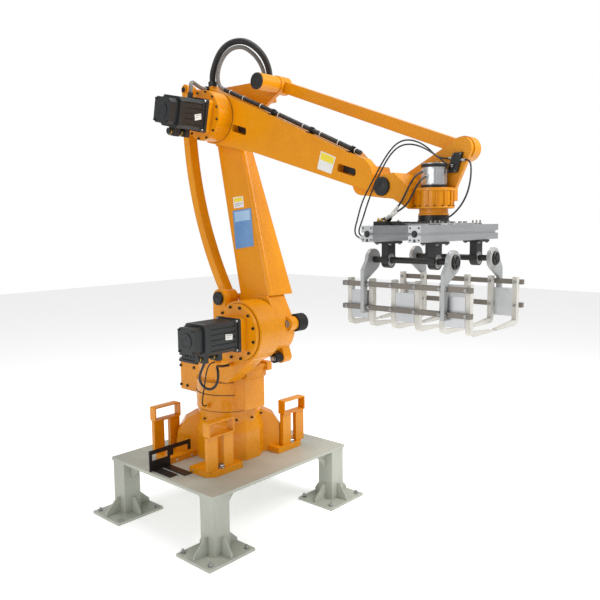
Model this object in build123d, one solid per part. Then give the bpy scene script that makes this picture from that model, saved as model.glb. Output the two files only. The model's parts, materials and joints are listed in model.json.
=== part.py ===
from build123d import *
from math import atan2, cos, degrees, hypot, pi, radians, sin, tan
import os

# Palletising robot arm on a welded table, with a bag gripper. Millimetres, +Z up.
# The origin is on the floor, under the axis on which the column turns.
# +X is the way the arm reaches, and Y = 0 is the plane that the arm moves in.

# Clearances shared by the whole machine
turning_gap = 0.3
pin_gap = 0.3
open_pivot_gap = 1.0
cut_overrun = 4.0

# Welded table: a plate on four square tube legs with foot plates
table_top_z = 350.0
table_length_y = 1102.0
table_depth_x = 947.0
table_thickness = 18.0
table_corner_radius = 6.0
leg_width = 110.0
leg_wall = 8.0
leg_inset = 8.5
foot_length_y = 321.0
foot_width_x = 274.0
foot_thickness = 16.0
foot_hole_radius = 9.0
foot_hole_inset = 32.0
gusset_thickness = 10.0
foot_gusset_height = 95.0
foot_gusset_margin = 8.0
foot_gusset_toe = 22.0
table_gusset_height = 100.0
table_gusset_reach = 95.0
table_gusset_toe = 14.0

# Cast base with four lugs, on the table
base_skirt_bottom_radius = 214.0
base_skirt_top_radius = 216.0
base_skirt_top_z = 522.0
base_skirt_sides = 12
base_neck_radius = 194.0
base_neck_z = 600.0
base_top_z = 655.0
lug_inner_x = 92.0
lug_outer_x = 274.0
lug_inner_y = 150.0
lug_outer_y = 398.0
lug_thickness = 35.0
lug_corner_radius = 70.0
lug_web_thickness = 100.0
lug_web_profile = ((200.0, 618.0), (270.0, 582.0), (318.0, 505.0), (336.0, 385.0))
lug_web_aim_x = 150.0
lug_web_aim_y = 185.0
post_clearance = 3.0
lug_bolt_radius = 11.0
lug_bolt_inset_x = 30.0
lug_bolt_inset_y = 105.0

# Fork pockets on the lugs
pocket_outer_x = 272.0
pocket_depth_x = 52.0
pocket_inner_y = 208.0
pocket_width_y = 190.0
pocket_height = 88.0
pocket_top_z = 668.0
pocket_wall = 8.0
pocket_post_width = 72.0
pocket_post_thickness = 26.0

# Black bracket plate that stands on the table by the base
bracket_plate_x = -84.0
bracket_edge_margin = 1.0
bracket_length = 300.0
bracket_height = 122.0
bracket_thickness = 6.0
bracket_foot_steps = ((22.0, 76.0), (94.0, 146.0))
bracket_foot_reach = (164.0, 205.0)
bracket_post_width = 40.0
bracket_window_height = 38.0
bracket_rail_height = 24.0

# Turning column
drum_radius = 196.0
drum_top_z = 831.0
drum_ring_top_z = 752.0
drum_ring_radius = 200.0
column_neck_radius = 172.0
column_body_top_z = 985.0
column_body_half_y = 160.0
column_body_front_x = 236.0
column_body_rear_x = -130.0
column_body_front_top_x = 205.0
column_body_corner = 34.0
column_nose_y = (-107.0, 50.0)
column_nose_profile = ((258.0, 675.0), (258.0, 852.0), (275.0, 866.0),
                       (275.0, 905.0), (290.0, 922.0), (290.0, 940.0))
stop_lug_x = (232.0, 302.0)
stop_lug_z = (898.0, 948.0)
stop_lug_y = (34.0, 72.0)

# Shoulder: the axis on which the lower arm swings
shoulder_x = 380.0
shoulder_z = 1172.0
shoulder_disc_radius = 172.0
shoulder_disc_y = (-255.0, -112.0)
shoulder_face_radius = 158.0
shoulder_face_depth = 25.0
shoulder_adaptor_width = 178.0
shoulder_adaptor_depth = 45.0
shoulder_hub_radius = 118.0
shoulder_web_y = (-225.0, -118.0)
shoulder_cheek_foot_z = 860.0

# Rear link: its lower pin sits up and back from the shoulder, its upper pin the same from the elbow
rear_link_dx = -195.0
rear_link_dz = 170.0
ear_y = (-225.0, -185.0)
ear_radius = 52.0
rear_pin_radius = 18.0
rear_cap_radius = 38.0
rear_cap_height = 13.0
rod_y = (-178.0, -118.0)
rod_width = 50.0
rod_bulge = 98.0
rod_bulge_share = 0.5
rod_foot_eye_radius = 46.0
rod_head_eye_radius = 31.0

# Elbow and wrist pivots in the rest pose
elbow_x = 70.0
elbow_z = 2365.0
wrist_x = 1223.0
wrist_z = 1927.0
front_link_dx = 308.0
front_link_dz = 162.0

# Lower arm: a tapered box from the shoulder drum to the elbow head
arm_drum_radius = 150.0
arm_drum_y = (-105.0, 30.0)
arm_box_foot_z = 1362.0
arm_box_head_z = 2215.0
arm_foot_front_x = 465.0
arm_foot_rear_x = 214.0
arm_foot_half_y = 98.0
arm_head_front_x = 203.0
arm_head_rear_x = -17.0
arm_head_half_y = 42.0
arm_edge_radius = 22.0
arm_neck_front_x = 448.0
arm_head_radius = 108.0
arm_head_y = (-50.0, 50.0)
arm_boss_x = 520.0
arm_boss_z = 1202.0
arm_boss_radius = 40.0
arm_boss_y = (-25.0, 31.0)
arm_boss_web = 60.0
arm_stop_x = 470.0
arm_stop_z = 1010.0
arm_stop_radius = 34.0
arm_stop_y = (-30.0, 28.0)
buffer_radius = 27.0
buffer_length = 52.0
buffer_knob_radius = 50.0
buffer_knob_length = 70.0
buffer_tip_radius = 26.0
buffer_tip_length = 18.0

# Link plate on the far side of the elbow, with the pins of both link rods
link_plate_y = (58.0, 84.0)
link_hub_radius = 62.0
link_hub_pin_radius = 32.0
link_hub_inner_y = 55.0
link_rear_radius = 34.0
link_front_radius = 50.0
link_rear_shaft_radius = 16.0
link_front_boss_radius = 46.0
link_front_boss_y = -83.0
link_front_pin_radius = 20.0
link_cap_radius = 44.0
link_cap_height = 8.0
pin_head_height = 10.0
hose_shelf_dx = (155.0, 238.0)
hose_shelf_dz = (83.0, 103.0)
hose_shelf_reach = 56.0

# Upper arm: one cast web beside the elbow head, a full box beyond it
upper_web_y = (-110.0, -55.0)
upper_box_y = (-110.0, 50.0)
upper_box_start = 520.0
upper_lobe_radius = 138.0
upper_tongue_radius = 54.0
upper_tongue_y = (-75.0, 50.0)
top_rear_step = (-56.0, 175.0)
top_knee_step = (303.0, 21.0)
top_front_step = (-161.0, 152.0)
nose_steps = ((-109.0, 135.0), (-73.0, 99.0), (-60.0, 60.0), (-65.0, 3.0))
bottom_front_step = (-79.0, -21.0)
bottom_knee_step = (304.0, -220.0)
bottom_rear_step = (-86.0, -134.0)
nose_cut_steps = ((-73.0, 193.0), (-263.0, 213.0), (-105.0, 61.0), (-73.0, 61.0))
upper_slot_depth = 46.0
upper_slot_corner = 12.0
slot_rear_steps = ((128.0, -49.0), (242.0, -84.0), (241.0, -124.0), (131.0, -89.0))
slot_front_steps = ((-268.0, 123.0), (-157.0, 89.0), (-156.0, 51.0), (-270.0, 85.0))
hose_seat_dx = (-94.0, -46.0)
hose_seat_dz = (125.0, 183.0)
hose_seat_y = (-98.0, -46.0)
upper_hub_radius = 95.0
elbow_disc_radius = 138.0
elbow_disc_y = (-215.0, -110.0)
elbow_adaptor_width = 180.0
elbow_adaptor_y = (-250.0, -215.0)
elbow_motor_turn = 12.5

# Servo motors: shoulder, elbow and waist share one form
motor_flange_width = 180.0
motor_flange_depth = 16.0
motor_body_width = 164.0
shoulder_motor_body_length = 224.0
elbow_motor_body_length = 170.0
motor_corner = 18.0
motor_cap_width = 136.0
motor_cap_length = 55.0
motor_fin_depth = 5.0
motor_fin_width = 9.0
motor_fin_shares = (-0.34, -0.17, 0.0, 0.17, 0.34)
motor_socket_width = 58.0
motor_socket_height = 46.0
motor_socket_shares = (0.36, 0.78)
motor_plug_radius = 17.0
motor_plug_length = 34.0
waist_motor_x = -290.0
waist_motor_seat_z = 885.0
waist_motor_body_length = 145.0
waist_box_bottom_z = 706.0
waist_box_half_y = 84.0
waist_box_rear_x = -378.0

# Corrugated conduit clipped along the top of the upper arm
conduit_radius = 12.0
conduit_gap = 4.0
conduit_y = -72.0
conduit_start_share = 0.24
sleeve_turn_share = 0.155
conduit_end_share = 1.0
clamp_width = 16.0
clamp_thickness = 3.5
clamp_shares = (0.16, 0.55, 0.93)

# Upper link rod
upper_rod_side_gap = 1.3
upper_rod_width_y = 58.0
upper_rod_thickness = 60.0
upper_rod_eye_radius = 50.0
rod_pin_head_radius = 40.0
rod_front_eye_radius = 57.0

# Wrist: yoke, reducer housing and the plate up to the upper link rod
flange_x = 1430.0
yoke_near_y = (-115.0, -80.0)
yoke_far_y = (55.0, 90.0)
yoke_eye_radius = 50.0
yoke_half_height = 60.0
yoke_clear_radius = 62.0
yoke_root_share = 0.7
wrist_pin_radius = 25.0
wrist_cap_radius = 44.0
wrist_cap_height = 7.0
reducer_radius = 89.0
reducer_top_z = 1914.0
reducer_bottom_z = 1820.0
reducer_facets = 14
wrist_plate_y = (60.0, 84.0)
wrist_plate_top_radius = 52.0
wrist_plate_pin_radius = 20.0
wrist_plate_front_x = 1506.0
wrist_plate_heel = 55.0
wrist_motor_radius = 56.0
wrist_motor_top_z = 2024.0
wrist_motor_cap_height = 19.0
wrist_motor_cap_lip = 2.0
junction_box_x = (1474.0, 1520.0)
junction_box_z = (1982.0, 2070.0)
junction_box_depth = 18.0
junction_box_lean = 27.0

# Tool flange and adapter
flange_radius = 65.5
flange_bottom_z = 1790.0
adapter_radius = 69.5
adapter_bottom_z = 1755.0

# Gripper frame: top plate, two slotted beams, bearing hangers
grip_plate_half_x = 165.0
grip_plate_half_y = 95.0
grip_plate_thickness = 8.0
beam_offset_x = 120.0
beam_half_length = 350.0
beam_width = 60.0
beam_bottom_z = 1676.0
beam_slot_width = 12.0
beam_slot_depth = 14.0
shaft_offset_y = 186.0
shaft_z = 1591.0
shaft_radius = 14.0
hanger_plate_z = 10.0
hanger_plate_half_y = 50.0
hanger_plate_half_x = 42.0
hanger_eye_radius = 36.0
hanger_eye_width = 34.0
hanger_web_half = 30.0
valve_x = (1268.0, 1330.0)
valve_y = (-245.0, -112.0)
valve_height = 18.0

# Jaws: swing arms on a shaft, two bars, six fingers and press plates
arm_offset_x = 207.0
swing_arm_thickness = 18.0
swing_disc_radius = 50.0
swing_hub_radius = 31.0
swing_hub_height = 8.0
jaw_plane_y = 244.0
swing_arm_width = 28.0
swing_elbow_drop = 45.0
swing_arm_foot_z = 1350.0
bar_half_length = 330.0
bar_width = 22.0
bar_upper_z = 1482.0
bar_lower_z = 1375.0
finger_width_x = 22.0
finger_depth_y = 26.0
finger_top_z = 1506.0
finger_bottom_z = 1284.0
finger_foot_thickness = 24.0
finger_tip_thickness = 8.0
finger_reach = 219.0
finger_spacing = 122.0
finger_bend_radius = 34.0
finger_shares = (-2.5, -1.5, -0.5, 0.5, 1.5, 2.5)
press_plate_thickness = 3.0
press_plate_z = (1322.0, 1452.0)
press_plate_shares = (-2.0, 0.0, 2.0)
press_plate_width = 96.0

# Cable glands and the plugs of the motor leads
gland_radius = 7.0
hose_nut_radius = 25.0
hose_nut_height = 28.0
sleeve_nut_radius = 17.0
motor_gland_offset = -35.0
motor_gland_depth = 36.0
motor_gland_height = 30.0
motor_gland_radius = 15.0
plug_radius = 9.0
plug_length = 62.0
plug_stub_radius = 11.0
plug_stub_depth = 26.0
beam_gland_reach = 34.0
box_gland_reach = 24.0
motor_gland_run = 30.0
shoulder_plug_run = 19.0
entry_gland_radius = 11.0
entry_gland_reach = 42.0

# Free cords: their diameters and the points of their routes
cord_arc_share = 0.45
elbow_hose_diameter = 36.0
sleeve_diameter = 24.0
motor_sleeve_diameter = 22.0
wrist_cable_diameter = 7.0
loop_cable_diameter = 8.0
lead_diameter = 9.0
shoulder_cable_diameter = 14.0
drop_cable_diameter = 8.0
elbow_hose_route = [
    (0, -72, 2576), (0, -72, 2619), (8, -62, 2662), (19, -50, 2710), (46, -35, 2757), (86, -15, 2788),
    (132, 5, 2797), (178, 22, 2790), (221, 40, 2766), (258, 57, 2730), (282, 74, 2690), (294, 92, 2640),
    (291, 106, 2588), (285, 112, 2542), (285, 112, 2498)
]
elbow_sleeve_route = [
    (52, -72, 2557), (43, -71, 2603), (47, -64, 2650), (58, -50, 2694), (79, -35, 2730),
    (106, -15, 2755), (139, 5, 2763), (173, 22, 2756), (200, 40, 2735), (225, 57, 2707),
    (243, 74, 2672), (252, 92, 2632), (250, 106, 2584), (246, 112, 2540), (246, 112, 2498)
]
motor_sleeve_route = [
    (-6, -118, 2531), (-6, -146, 2531), (0, -180, 2538), (13, -214, 2546), (31, -246, 2547),
    (51, -273, 2535)
]
wrist_cable_long_route = [
    (1480, 51, 2047), (1462, 51, 2047), (1446, 42, 2050), (1437, 24, 2056), (1436, -2, 2063),
    (1443, -38, 2071), (1449, -74, 2081), (1446, -106, 2095), (1431, -138, 2110), (1408, -164, 2119),
    (1383, -186, 2117), (1361, -203, 2103), (1343, -220, 2078), (1328, -240, 2044), (1314, -258, 2006),
    (1298, -273, 1964), (1277, -290, 1914), (1258, -308, 1862), (1248, -322, 1812), (1244, -333, 1770),
    (1237, -338, 1742), (1236, -340, 1719), (1246, -340, 1700), (1265, -340, 1694)
]
wrist_cable_short_route = [
    (1502, 28, 2012), (1502, 10, 2012), (1500, -12, 2018), (1493, -34, 2031), (1482, -58, 2048),
    (1466, -86, 2067), (1447, -113, 2084), (1424, -139, 2097), (1398, -163, 2102), (1373, -185, 2096),
    (1353, -203, 2078), (1339, -222, 2052), (1327, -241, 2018), (1314, -257, 1980), (1300, -271, 1938),
    (1284, -286, 1886), (1270, -299, 1832), (1258, -308, 1782), (1246, -313, 1748), (1238, -315, 1722),
    (1247, -315, 1703), (1266, -315, 1697)
]
tool_loop_route = [
    (1552, 51, 2036), (1570, 51, 2036), (1589, 40, 2024), (1605, 20, 1998), (1617, -4, 1958),
    (1623, -30, 1908), (1619, -56, 1860), (1604, -79, 1820), (1580, -98, 1788), (1545, -111, 1768),
    (1500, -119, 1759), (1452, -126, 1757), (1408, -136, 1758), (1376, -154, 1760), (1357, -170, 1758)
]
lead_rear_route = [
    (1409, -66, 1985), (1402, -90, 1977), (1396, -112, 1960), (1388, -126, 1936), (1375, -132, 1908),
    (1359, -133, 1880), (1342, -132, 1852), (1322, -132, 1829)
]
lead_front_route = [
    (1430, -70, 1962), (1428, -93, 1956), (1424, -113, 1939), (1415, -127, 1914), (1405, -136, 1888),
    (1396, -146, 1861), (1384, -157, 1837), (1366, -166, 1820), (1341, -169, 1806)
]
shoulder_cable_route = [
    (370, -487, 1056), (363, -493, 1033), (348, -496, 1004), (330, -496, 974), (316, -490, 940),
    (324, -478, 906), (358, -467, 888), (396, -459, 900), (416, -450, 934), (410, -438, 974),
    (384, -421, 996), (350, -396, 1000), (322, -364, 994), (302, -330, 984), (290, -302, 978),
    (286, -280, 976), (286, -254, 976)
]
drop_cable_route = [
    (176, -262, 980), (176, -281, 980), (170, -296, 970), (156, -300, 946), (138, -294, 914),
    (118, -285, 876), (98, -276, 834), (80, -269, 792), (66, -265, 752), (56, -262, 724),
    (50, -254, 704), (47, -238, 694), (44, -221, 692)
]

# Driven positions
shoulder = (shoulder_x, shoulder_z)
elbow = (elbow_x, elbow_z)
wrist_pivot = (wrist_x, wrist_z)
rear_low = (shoulder_x + rear_link_dx, shoulder_z + rear_link_dz)
rear_high = (elbow_x + rear_link_dx, elbow_z + rear_link_dz)
front_rear = (elbow_x + front_link_dx, elbow_z + front_link_dz)
front_fore = (wrist_x + front_link_dx, wrist_z + front_link_dz)
upper_rod_near_y = link_plate_y[1] + upper_rod_side_gap
upper_rod_y = (upper_rod_near_y, upper_rod_near_y + upper_rod_width_y)
column_bottom_z = base_top_z + turning_gap
leg_x = table_depth_x / 2 - leg_inset - leg_width / 2
leg_y = table_length_y / 2 - leg_inset - leg_width / 2
table_underside_z = table_top_z - table_thickness
lug_top_z = table_top_z + lug_thickness
beam_height = adapter_bottom_z - grip_plate_thickness - beam_bottom_z
shaft_ends_x = arm_offset_x + swing_arm_thickness / 2


def stepped(pivot, step):
    """The point at a step from a pivot, in X and Z."""
    return pivot[0] + step[0], pivot[1] + step[1]


upper_top_rear = stepped(elbow, top_rear_step)
upper_top_knee = stepped(elbow, top_knee_step)
upper_top_front = stepped(wrist_pivot, top_front_step)
upper_bottom_front = stepped(wrist_pivot, bottom_front_step)
upper_bottom_knee = stepped(elbow, bottom_knee_step)
upper_bottom_rear = stepped(elbow, bottom_rear_step)


def save(node, shape):
    """Writes one node's solids to its own file."""
    export_step(shape, os.path.join("parts", node + ".step"))


def block(x_span, y_span, z_span):
    """A box between three pairs of limits."""
    spans = (x_span, y_span, z_span)
    size = [high - low for low, high in spans]
    middle = [(high + low) / 2 for low, high in spans]
    return Pos(*middle) * Box(*size)


def disc_y(centre, radius, y_span):
    """A round bar along Y, at a point of the arm's plane."""
    low, high = y_span
    bar = Cylinder(radius, high - low, rotation=(90, 0, 0))
    return Pos(centre[0], (low + high) / 2, centre[1]) * bar


def disc_x(centre, radius, x_span):
    """A round bar along X, at a point (y, z)."""
    low, high = x_span
    bar = Cylinder(radius, high - low, rotation=(0, 90, 0))
    return Pos((low + high) / 2, centre[0], centre[1]) * bar


def disc_z(centre, radius, z_span):
    """A round bar along Z, at a point (x, y)."""
    low, high = z_span
    return Pos(centre[0], centre[1], (low + high) / 2) * Cylinder(radius, high - low)


def slab_y(points, y_span, corner=0):
    """A flat piece with an outline in X and Z, between two values of Y."""
    low, high = y_span
    outline = Polygon(*points, align=None)
    if corner > 0:
        outline = fillet(outline.vertices(), corner)
    plane = Plane(origin=(0, high, 0), x_dir=(1, 0, 0), z_dir=(0, -1, 0))
    return extrude(plane * outline, amount=high - low, dir=(0, -1, 0))


def slab_x(points, x_span, corner=0):
    """A flat piece with an outline in Y and Z, between two values of X."""
    low, high = x_span
    outline = Polygon(*points, align=None)
    if corner > 0:
        outline = fillet(outline.vertices(), corner)
    plane = Plane(origin=(low, 0, 0), x_dir=(0, 1, 0), z_dir=(1, 0, 0))
    return extrude(plane * outline, amount=high - low, dir=(1, 0, 0))


def tangent_strip(start, start_radius, end, end_radius, y_span):
    """A link between two round ends, bounded by their outer tangents."""
    dx, dz = end[0] - start[0], end[1] - start[1]
    span = hypot(dx, dz)
    heading = atan2(dz, dx)
    lean = atan2(start_radius - end_radius, span)
    points = []
    for side in (1, -1):
        angle = heading + side * (pi / 2 - lean)
        ends = [(start, start_radius), (end, end_radius)]
        if side < 0:
            ends.reverse()
        for centre, radius in ends:
            points.append((centre[0] + radius * cos(angle), centre[1] + radius * sin(angle)))
    strip = slab_y(points, y_span)
    return strip + disc_y(start, start_radius, y_span) + disc_y(end, end_radius, y_span)


def along(start, end, share):
    """The point at a share of the way between two points."""
    return tuple(a + (b - a) * share for a, b in zip(start, end))


def rectangle_at(x_span, y_half, z, corner):
    """A level rounded rectangle for a tapered body."""
    width = x_span[1] - x_span[0]
    middle = (x_span[0] + x_span[1]) / 2
    return Pos(middle, 0, z) * RectangleRounded(width, 2 * y_half, corner)


def servo_motor(length):
    """A servo motor: its flange face is at the origin, and it runs down the -Y axis, sockets below."""
    flange = block((-motor_flange_width / 2, motor_flange_width / 2), (-motor_flange_depth, 0),
                   (-motor_flange_width / 2, motor_flange_width / 2))
    flange = fillet(flange.edges().filter_by(Axis.Y), motor_corner / 2)
    half = motor_body_width / 2
    body_end = -motor_flange_depth - length
    body = block((-half, half), (body_end, -motor_flange_depth), (-half, half))
    body = chamfer(body.edges().filter_by(Axis.Y), motor_corner)
    for share in motor_fin_shares:
        place = share * motor_body_width
        for side in (-1, 1):
            outer = side * half
            inner = side * (half - motor_fin_depth)
            z_span = sorted((inner, outer + side * cut_overrun))
            x_span = (place - motor_fin_width / 2, place + motor_fin_width / 2)
            run = (body_end + 2 * motor_corner, -motor_flange_depth - motor_corner)
            body -= block(x_span, run, z_span)
            body -= block(z_span, run, x_span)
    cap_half = motor_cap_width / 2
    cap = block((-cap_half, cap_half), (body_end - motor_cap_length, body_end), (-cap_half, cap_half))
    cap = chamfer(cap.edges().filter_by(Axis.Y), motor_corner)
    motor = flange + body + cap
    for share in motor_socket_shares:
        y_mid = -motor_flange_depth - share * length
        half_socket = motor_socket_width / 2
        z_low = -half - motor_socket_height
        x_span = (-half_socket, half_socket)
        y_span = (y_mid - half_socket / 2, y_mid + half_socket / 2)
        motor += block(x_span, y_span, (z_low, -half + motor_fin_depth))
        plug_mid = (z_low + motor_socket_height / 2)
        motor += disc_y((-half_socket / 3, plug_mid), motor_plug_radius,
                        (y_mid - half_socket / 2 - motor_plug_length / 2, y_mid))
    return motor


# Table

def table_plate():
    half_x, half_y = table_depth_x / 2, table_length_y / 2
    plate = block((-half_x, half_x), (-half_y, half_y), (table_underside_z, table_top_z))
    plate = fillet(plate.edges().filter_by(Axis.Z), table_corner_radius)
    for x, y in lug_bolt_places():
        plate -= disc_z((x, y), lug_bolt_radius,
                        (table_underside_z - cut_overrun, table_top_z + cut_overrun))
    return plate


def gusset_outline(reach, height, toe):
    """A corner plate, flat along the tube and the plate it is welded to."""
    return [(0, 0), (reach, 0), (reach, toe), (toe, height), (0, height)]


def leg(side_x, side_y):
    """One leg: square tube, foot plate, corner plates at the foot and under the table."""
    centre_x, centre_y = side_x * leg_x, side_y * leg_y
    half = leg_width / 2
    tube = block((centre_x - half, centre_x + half), (centre_y - half, centre_y + half),
                 (foot_thickness, table_underside_z))
    inner = half - leg_wall
    tube -= block((centre_x - inner, centre_x + inner), (centre_y - inner, centre_y + inner),
                  (foot_thickness, table_underside_z))
    foot = block((centre_x - foot_width_x / 2, centre_x + foot_width_x / 2),
                 (centre_y - foot_length_y / 2, centre_y + foot_length_y / 2), (0, foot_thickness))
    for dx in (-1, 1):
        for dy in (-1, 1):
            x = centre_x + dx * (foot_width_x / 2 - foot_hole_inset)
            y = centre_y + dy * (foot_length_y / 2 - foot_hole_inset)
            foot -= disc_z((x, y), foot_hole_radius, (-cut_overrun, foot_thickness + cut_overrun))
    piece = tube + foot
    reach_x = foot_width_x / 2 - half - foot_gusset_margin
    reach_y = foot_length_y / 2 - half - foot_gusset_margin
    thick = (-gusset_thickness / 2, gusset_thickness / 2)
    for side in (-1, 1):
        outline = gusset_outline(reach_x, foot_gusset_height, foot_gusset_toe)
        points = [(centre_x + side * (half + u), foot_thickness + w) for u, w in outline]
        piece += slab_y(points, [centre_y + t for t in thick])
        outline = gusset_outline(reach_y, foot_gusset_height, foot_gusset_toe)
        points = [(centre_y + side * (half + u), foot_thickness + w) for u, w in outline]
        piece += slab_x(points, [centre_x + t for t in thick])
    outline = gusset_outline(table_gusset_reach, table_gusset_height, table_gusset_toe)
    points = [(centre_x - side_x * (half + u), table_underside_z - w) for u, w in outline]
    piece += slab_y(points, [centre_y + t for t in thick])
    points = [(centre_y - side_y * (half + u), table_underside_z - w) for u, w in outline]
    piece += slab_x(points, [centre_x + t for t in thick])
    return piece


# Base casting and what is bolted to it

def lug_bolt_places():
    """The bolts through each lug and the table, one lug after another."""
    places = []
    for side_x in (-1, 1):
        for side_y in (-1, 1):
            y = side_y * (lug_inner_y + lug_bolt_inset_y / 2)
            places.append((side_x * (lug_outer_x - lug_bolt_inset_x), y))
    return places


def polygon_points(radius, sides):
    """Corners of a regular outline whose flats face the axes."""
    turn = pi / sides
    return [(radius * cos(turn + 2 * pi * i / sides), radius * sin(turn + 2 * pi * i / sides))
            for i in range(sides)]


def polygon_at(z, radius, sides):
    """A flat regular polygon about the Z axis, at a height."""
    return Pos(0, 0, z) * Polygon(*polygon_points(radius, sides), align=None)


def base_casting():
    low = polygon_at(table_top_z, base_skirt_bottom_radius, base_skirt_sides)
    high = polygon_at(base_skirt_top_z, base_skirt_top_radius, base_skirt_sides)
    neck = polygon_at(base_neck_z, base_neck_radius, base_skirt_sides)
    body = loft([low, high]) + loft([high, neck])
    body += disc_z((0, 0), base_neck_radius, (base_skirt_top_z, base_top_z))
    for side_x in (-1, 1):
        for side_y in (-1, 1):
            x_span = sorted((side_x * lug_inner_x, side_x * lug_outer_x))
            y_span = sorted((side_y * lug_inner_y, side_y * lug_outer_y))
            lug = block(x_span, y_span, (table_top_z, lug_top_z))
            corner = (side_x * lug_outer_x, side_y * lug_outer_y)
            edge = lug.edges().filter_by(Axis.Z).sort_by_distance((corner[0], corner[1], table_top_z))[0]
            body += fillet(edge, lug_corner_radius)
            body += lug_web(side_x, side_y)
    for x, y in lug_bolt_places():
        body -= disc_z((x, y), lug_bolt_radius, (table_top_z - cut_overrun, lug_top_z + cut_overrun))
    return body


def lug_web(side_x, side_y):
    """The sloping rib from the neck down to one lug."""
    outline = [(0, lug_web_profile[0][1]), *lug_web_profile,
               (lug_web_profile[-1][0], table_top_z), (0, table_top_z)]
    web = slab_y(outline, (-lug_web_thickness / 2, lug_web_thickness / 2))
    turn = degrees(atan2(side_y * lug_web_aim_y, side_x * lug_web_aim_x))
    inner_x = pocket_outer_x - pocket_depth_x - post_clearance
    x_span = sorted((side_x * inner_x, side_x * (inner_x + lug_web_profile[-1][0])))
    inner_y = pocket_inner_y - post_clearance
    y_span = sorted((side_y * inner_y, side_y * (inner_y + lug_web_profile[-1][0])))
    return Rot(0, 0, turn) * web - block(x_span, y_span, (lug_top_z, base_top_z))


def fork_pocket(side_x, side_y):
    """A flat tube for a fork tine, open along X, on two posts."""
    x_span = sorted((side_x * pocket_outer_x, side_x * (pocket_outer_x - pocket_depth_x)))
    outer_y = pocket_inner_y + pocket_width_y
    y_span = sorted((side_y * pocket_inner_y, side_y * outer_y))
    bottom_z = pocket_top_z - pocket_height
    tube = block(x_span, y_span, (bottom_z, pocket_top_z))
    tube = fillet(tube.edges().filter_by(Axis.X), pocket_wall)
    tube -= block((x_span[0] - cut_overrun, x_span[1] + cut_overrun),
                  (y_span[0] + pocket_wall, y_span[1] - pocket_wall),
                  (bottom_z + pocket_wall, pocket_top_z - pocket_wall))
    middle = (x_span[0] + x_span[1]) / 2
    post_x = (middle - pocket_post_thickness / 2, middle + pocket_post_thickness / 2)
    for edge_y, inward in ((pocket_inner_y, 1), (outer_y, -1)):
        post_y = sorted((side_y * edge_y, side_y * (edge_y + inward * pocket_post_width)))
        tube += block(post_x, post_y, (lug_top_z, bottom_z))
    return tube


def cable_bracket():
    """A black cut-out plate along Y with two flat feet, on the table by the base."""
    y_low = -table_length_y / 2 + bracket_edge_margin
    y_high = y_low + bracket_length
    feet = [(y_low + near, y_low + far) for near, far in bracket_foot_steps]
    x_span = (bracket_plate_x, bracket_plate_x + bracket_thickness)
    clear_x = (x_span[0] - cut_overrun, x_span[1] + cut_overrun)
    top_z = table_top_z + bracket_height
    plate = block(x_span, (y_low, y_high), (table_top_z, top_z))
    window_z = (top_z - bracket_rail_height - bracket_window_height, top_z - bracket_rail_height)
    middle = (y_low + y_high) / 2
    half_post = bracket_post_width / 2
    plate -= block(clear_x, (y_low + half_post, middle - half_post), window_z)
    plate -= block(clear_x, (middle + half_post, y_high - half_post), window_z)
    plate -= block(clear_x, (feet[1][1], y_high + cut_overrun), (table_top_z - cut_overrun, window_z[0]))
    for y_span, reach in zip(feet, bracket_foot_reach):
        plate += block((bracket_plate_x, bracket_plate_x + reach), y_span,
                       (table_top_z, table_top_z + bracket_thickness))
    return plate


# Column

def column():
    body = disc_z((0, 0), drum_ring_radius, (column_bottom_z, drum_ring_top_z))
    body += disc_z((0, 0), drum_radius, (column_bottom_z, drum_top_z))
    low = Pos(0, 0, drum_top_z) * Circle(column_neck_radius)
    middle_x = (column_body_front_top_x + column_body_rear_x) / 2
    half_x = (column_body_front_top_x - column_body_rear_x) / 2
    high = Pos(middle_x, 0, column_body_top_z) * RectangleRounded(
        2 * half_x, 2 * column_body_half_y, column_body_corner)
    body += loft([low, high])
    body += column_nose()
    body += waist_motor_box()
    body += shoulder_housing()
    return body


def column_nose():
    """The front rib under the shoulder, with the lug that stops the arm."""
    outline = [(0, column_nose_profile[0][1]), *column_nose_profile, (0, column_nose_profile[-1][1])]
    nose = slab_y(outline, column_nose_y)
    seat = block((0, stop_lug_x[0]), stop_lug_y, (drum_top_z, stop_lug_z[1]))
    return nose + seat + block(stop_lug_x, stop_lug_y, stop_lug_z)


def waist_motor_box():
    """The square box at the back that the waist motor stands on."""
    x_span = (waist_box_rear_x, -drum_radius / 2)
    y_span = (-waist_box_half_y, waist_box_half_y)
    box = block(x_span, y_span, (waist_box_bottom_z, waist_motor_seat_z))
    return fillet(box.edges().filter_by(Axis.Z).sort_by(Axis.X)[0:2], column_body_corner / 2)


def shoulder_housing():
    """The round gearbox housing on the near side, its cheek and the ear of the rear link."""
    housing = disc_y(shoulder, shoulder_disc_radius, shoulder_disc_y)
    face_low = shoulder_disc_y[0] - shoulder_face_depth
    housing += disc_y(shoulder, shoulder_face_radius, (face_low, shoulder_disc_y[0]))
    half = shoulder_adaptor_width / 2
    adaptor = block((shoulder_x - half, shoulder_x + half), (face_low - shoulder_adaptor_depth, face_low),
                    (shoulder_z - half, shoulder_z + half))
    housing += fillet(adaptor.edges().filter_by(Axis.Y), motor_corner)
    housing += disc_y(shoulder, shoulder_hub_radius, (shoulder_disc_y[1], arm_drum_y[0] - turning_gap))
    slant = shoulder_face_radius * sin(pi / 4)
    cheek = [(rear_low[0] - ear_radius, shoulder_cheek_foot_z), (column_body_front_x, shoulder_cheek_foot_z),
             (shoulder_x + slant, shoulder_z - slant),
             (shoulder_x, shoulder_z + shoulder_face_radius / 2),
             (rear_low[0] + ear_radius, shoulder_z + slant), (rear_low[0] - ear_radius, shoulder_z + slant)]
    housing += slab_y(cheek, shoulder_web_y)
    ear = disc_y(rear_low, ear_radius, ear_y)
    ear += block((rear_low[0] - ear_radius, rear_low[0] + ear_radius), ear_y, (shoulder_z, rear_low[1]))
    housing += ear
    pin = disc_y(rear_low, rear_pin_radius, (ear_y[1], rod_y[1]))
    return housing + pin


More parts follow.
